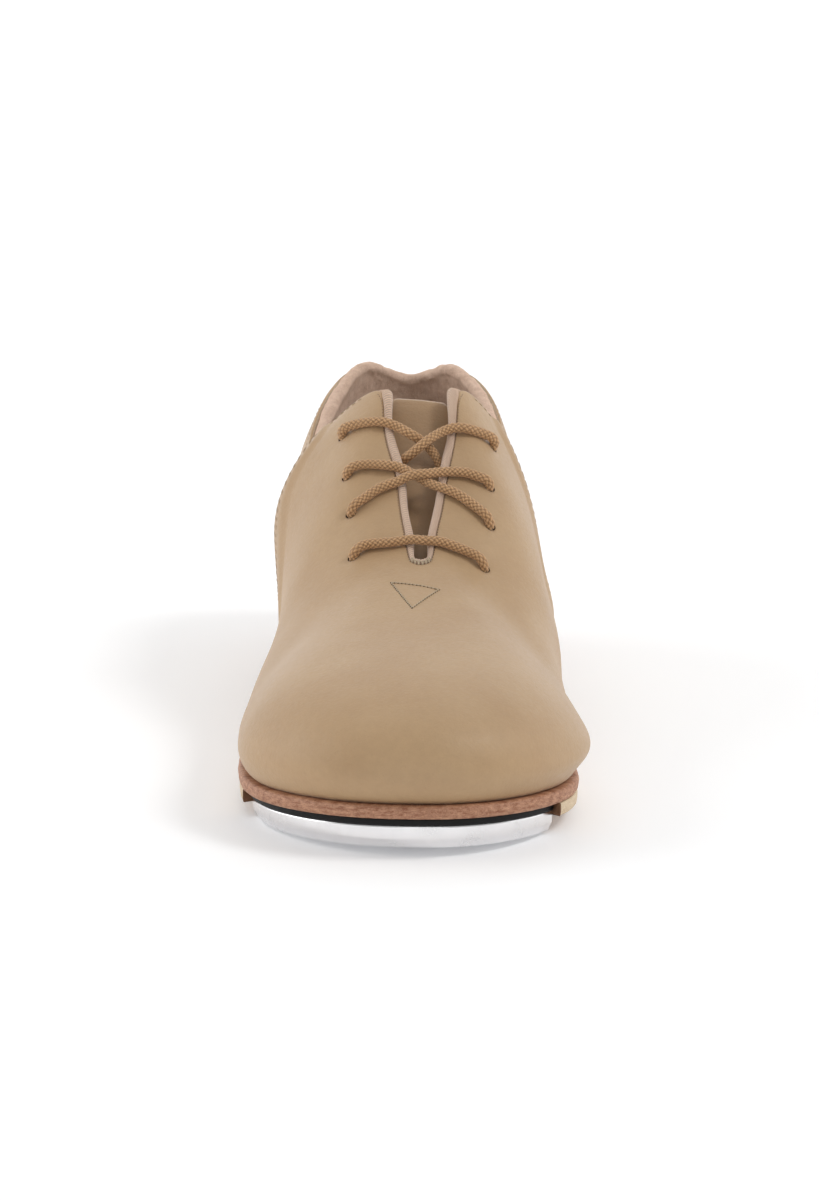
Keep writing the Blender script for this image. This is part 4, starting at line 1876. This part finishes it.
htap = ring_solid("heel_tap_plate", heel_plan(0.0, 197.0, PT), lambda y: 0.0, lambda y: 4.0,
                  [(3.6, 1.0), (3.25, 0.975), (3.12, 0.9), (3.15, 0.6), (3.2, 0.42), (3.3, 0.36), (4.0, 0.06), (4.5, 0.0)], SPINE_H, [M_TAP, M_TAP, M_TAP], cap_steps=8)
cut_with(htap, [sink_tool(x, y, z, [M_TAP]) for x, y, z in HEEL_SCREWS])
sharp(htap, 38)
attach(htap, "rear")
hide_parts("heel_tap")
hs = joined("heel_tap_screw_set", [screw_parts(x, y, z, 17.5, True) for x, y, z in HEEL_SCREWS], [M_SCREW])
sharp(hs, 30)
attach(hs, "rear")
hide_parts("heel_tap_screws")

# ================= hidden CAD pieces keep their shape and get a finish =================
FINISH = {"toe_puff": M_STIFF, "heel_counter": M_STIFF, "facing_stays": M_STIFF, "collar_foam": M_FOAM, "filler_front": M_FOAM, "filler_rear": M_FOAM,
          "insole_board_front": M_STIFF, "insole_board_rear": M_STIFF, "shank": M_SHANK, "heel_nails": M_SHANK}
for name, mat in FINISH.items():
    ob = frame["nodes"][name]
    for slot_ in ob.material_slots:
        slot_.material = mat

# ================= stage, light, camera =================
def stage_sheet():
    n, m = 60, 2
    prof = [(-3.0, 0.0), (1.2, 0.0), (2.2, 0.0)]   # the sheet is 3.4 m wide, and wider where it sweeps up
    for i in range(1, 25):
        a = math.pi / 2 * i / 24
        prof.append((2.2 + 1.2 * math.sin(a), 1.2 * (1 - math.cos(a))))
    prof.append((3.4, 5.0))
    v_ = [(x * (1.7 if y < 1.5 else 5.0), y, z - 0.0002) for x in (-1, 1) for y, z in prof]
    k_ = len(prof)
    f_ = [(i, i + 1, k_ + i + 1, k_ + i) for i in range(k_ - 1)]
    me = bpy.data.meshes.new("studio_floor")
    me.from_pydata(v_, [], f_)
    me.update()
    me.polygons.foreach_set("use_smooth", np.ones(len(me.polygons), bool))
    ob = bpy.data.objects.new("studio_floor", me)
    bpy.context.scene.collection.objects.link(ob)
    m_ = Mat("studio_paper")
    f = m_.noise(600.0, 2.0)
    m_.set("Base Color", m_.mix(m_.maprange(f, 0.3, 0.7, 0, 1), lin((246, 246, 246)), lin((244, 244, 244))))
    m_.set("Roughness", 0.9)
    m_.set("Specular IOR Level", 0.1)
    m_.set("Emission Color", lin((246, 248, 252)))
    m_.set("Emission Strength", 0.16)
    me.materials.append(m_.m)
    return ob


stage_sheet()
world_ = bpy.data.worlds.new("studio")
bpy.context.scene.world = world_
world_.use_nodes = True
wn = world_.node_tree
soft = wn.nodes["Background"]
soft.inputs[0].default_value = (1, 1, 1, 1)
soft.inputs[1].default_value = 0.46
white = wn.nodes.new("ShaderNodeBackground")
white.inputs[0].default_value = (1, 1, 1, 1)
white.inputs[1].default_value = 1.0
ray = wn.nodes.new("ShaderNodeLightPath")
both = wn.nodes.new("ShaderNodeMixShader")
wn.links.new(ray.outputs["Is Camera Ray"], both.inputs[0])
wn.links.new(soft.outputs[0], both.inputs[1])
wn.links.new(white.outputs[0], both.inputs[2])
out_ = next(n_ for n_ in wn.nodes if n_.type == "OUTPUT_WORLD")
wn.links.new(both.outputs[0], out_.inputs[0])


def area(name, place, aim, size, power, size_y=None, color=(1, 1, 1)):
    l = bpy.data.lights.new(name, "AREA")
    l.shape = "RECTANGLE"
    l.size = size
    l.size_y = size_y or size
    l.energy = power
    l.color = color
    o = bpy.data.objects.new(name, l)
    bpy.context.scene.collection.objects.link(o)
    o.location = place
    o.rotation_euler = (Vector(aim) - Vector(place)).to_track_quat("-Z", "Y").to_euler()
    return o


bpy.context.scene.view_settings.view_transform = "Standard"
bpy.context.scene.view_settings.look = "None"
area("key", (1.05, -0.45, 1.35), (0, -0.1, 0.03), 0.45, 8.6)
area("top", (-0.1, 0.35, 1.7), (0, -0.05, 0.0), 1.6, 2.4)
area("left_wall", (-1.45, 0.05, 0.55), (0, -0.05, 0.04), 1.4, 12.5)
area("right_wall", (1.45, 0.2, 0.55), (0, -0.05, 0.04), 1.2, 4.2)
area("front", (0.0, -2.2, 0.45), (0, -0.1, 0.03), 1.2, 2.0, 0.5)
area("backdrop", (0.0, 1.2, 1.9), (0, 3.2, 1.2), 2.5, 60.0)

cam = bpy.data.cameras.new("camera")
co_ = bpy.data.objects.new("camera", cam)
bpy.context.scene.collection.objects.link(co_)
co_.location = (0, -1.7243, 0.42905)
co_.rotation_euler = (math.radians(76.5), 0, 0)
cam.sensor_fit = "AUTO"
cam.sensor_width = 36
cam.lens = 183.84
cam.clip_start = 0.05
bpy.context.scene.camera = co_

bpy.context.view_layer.update()
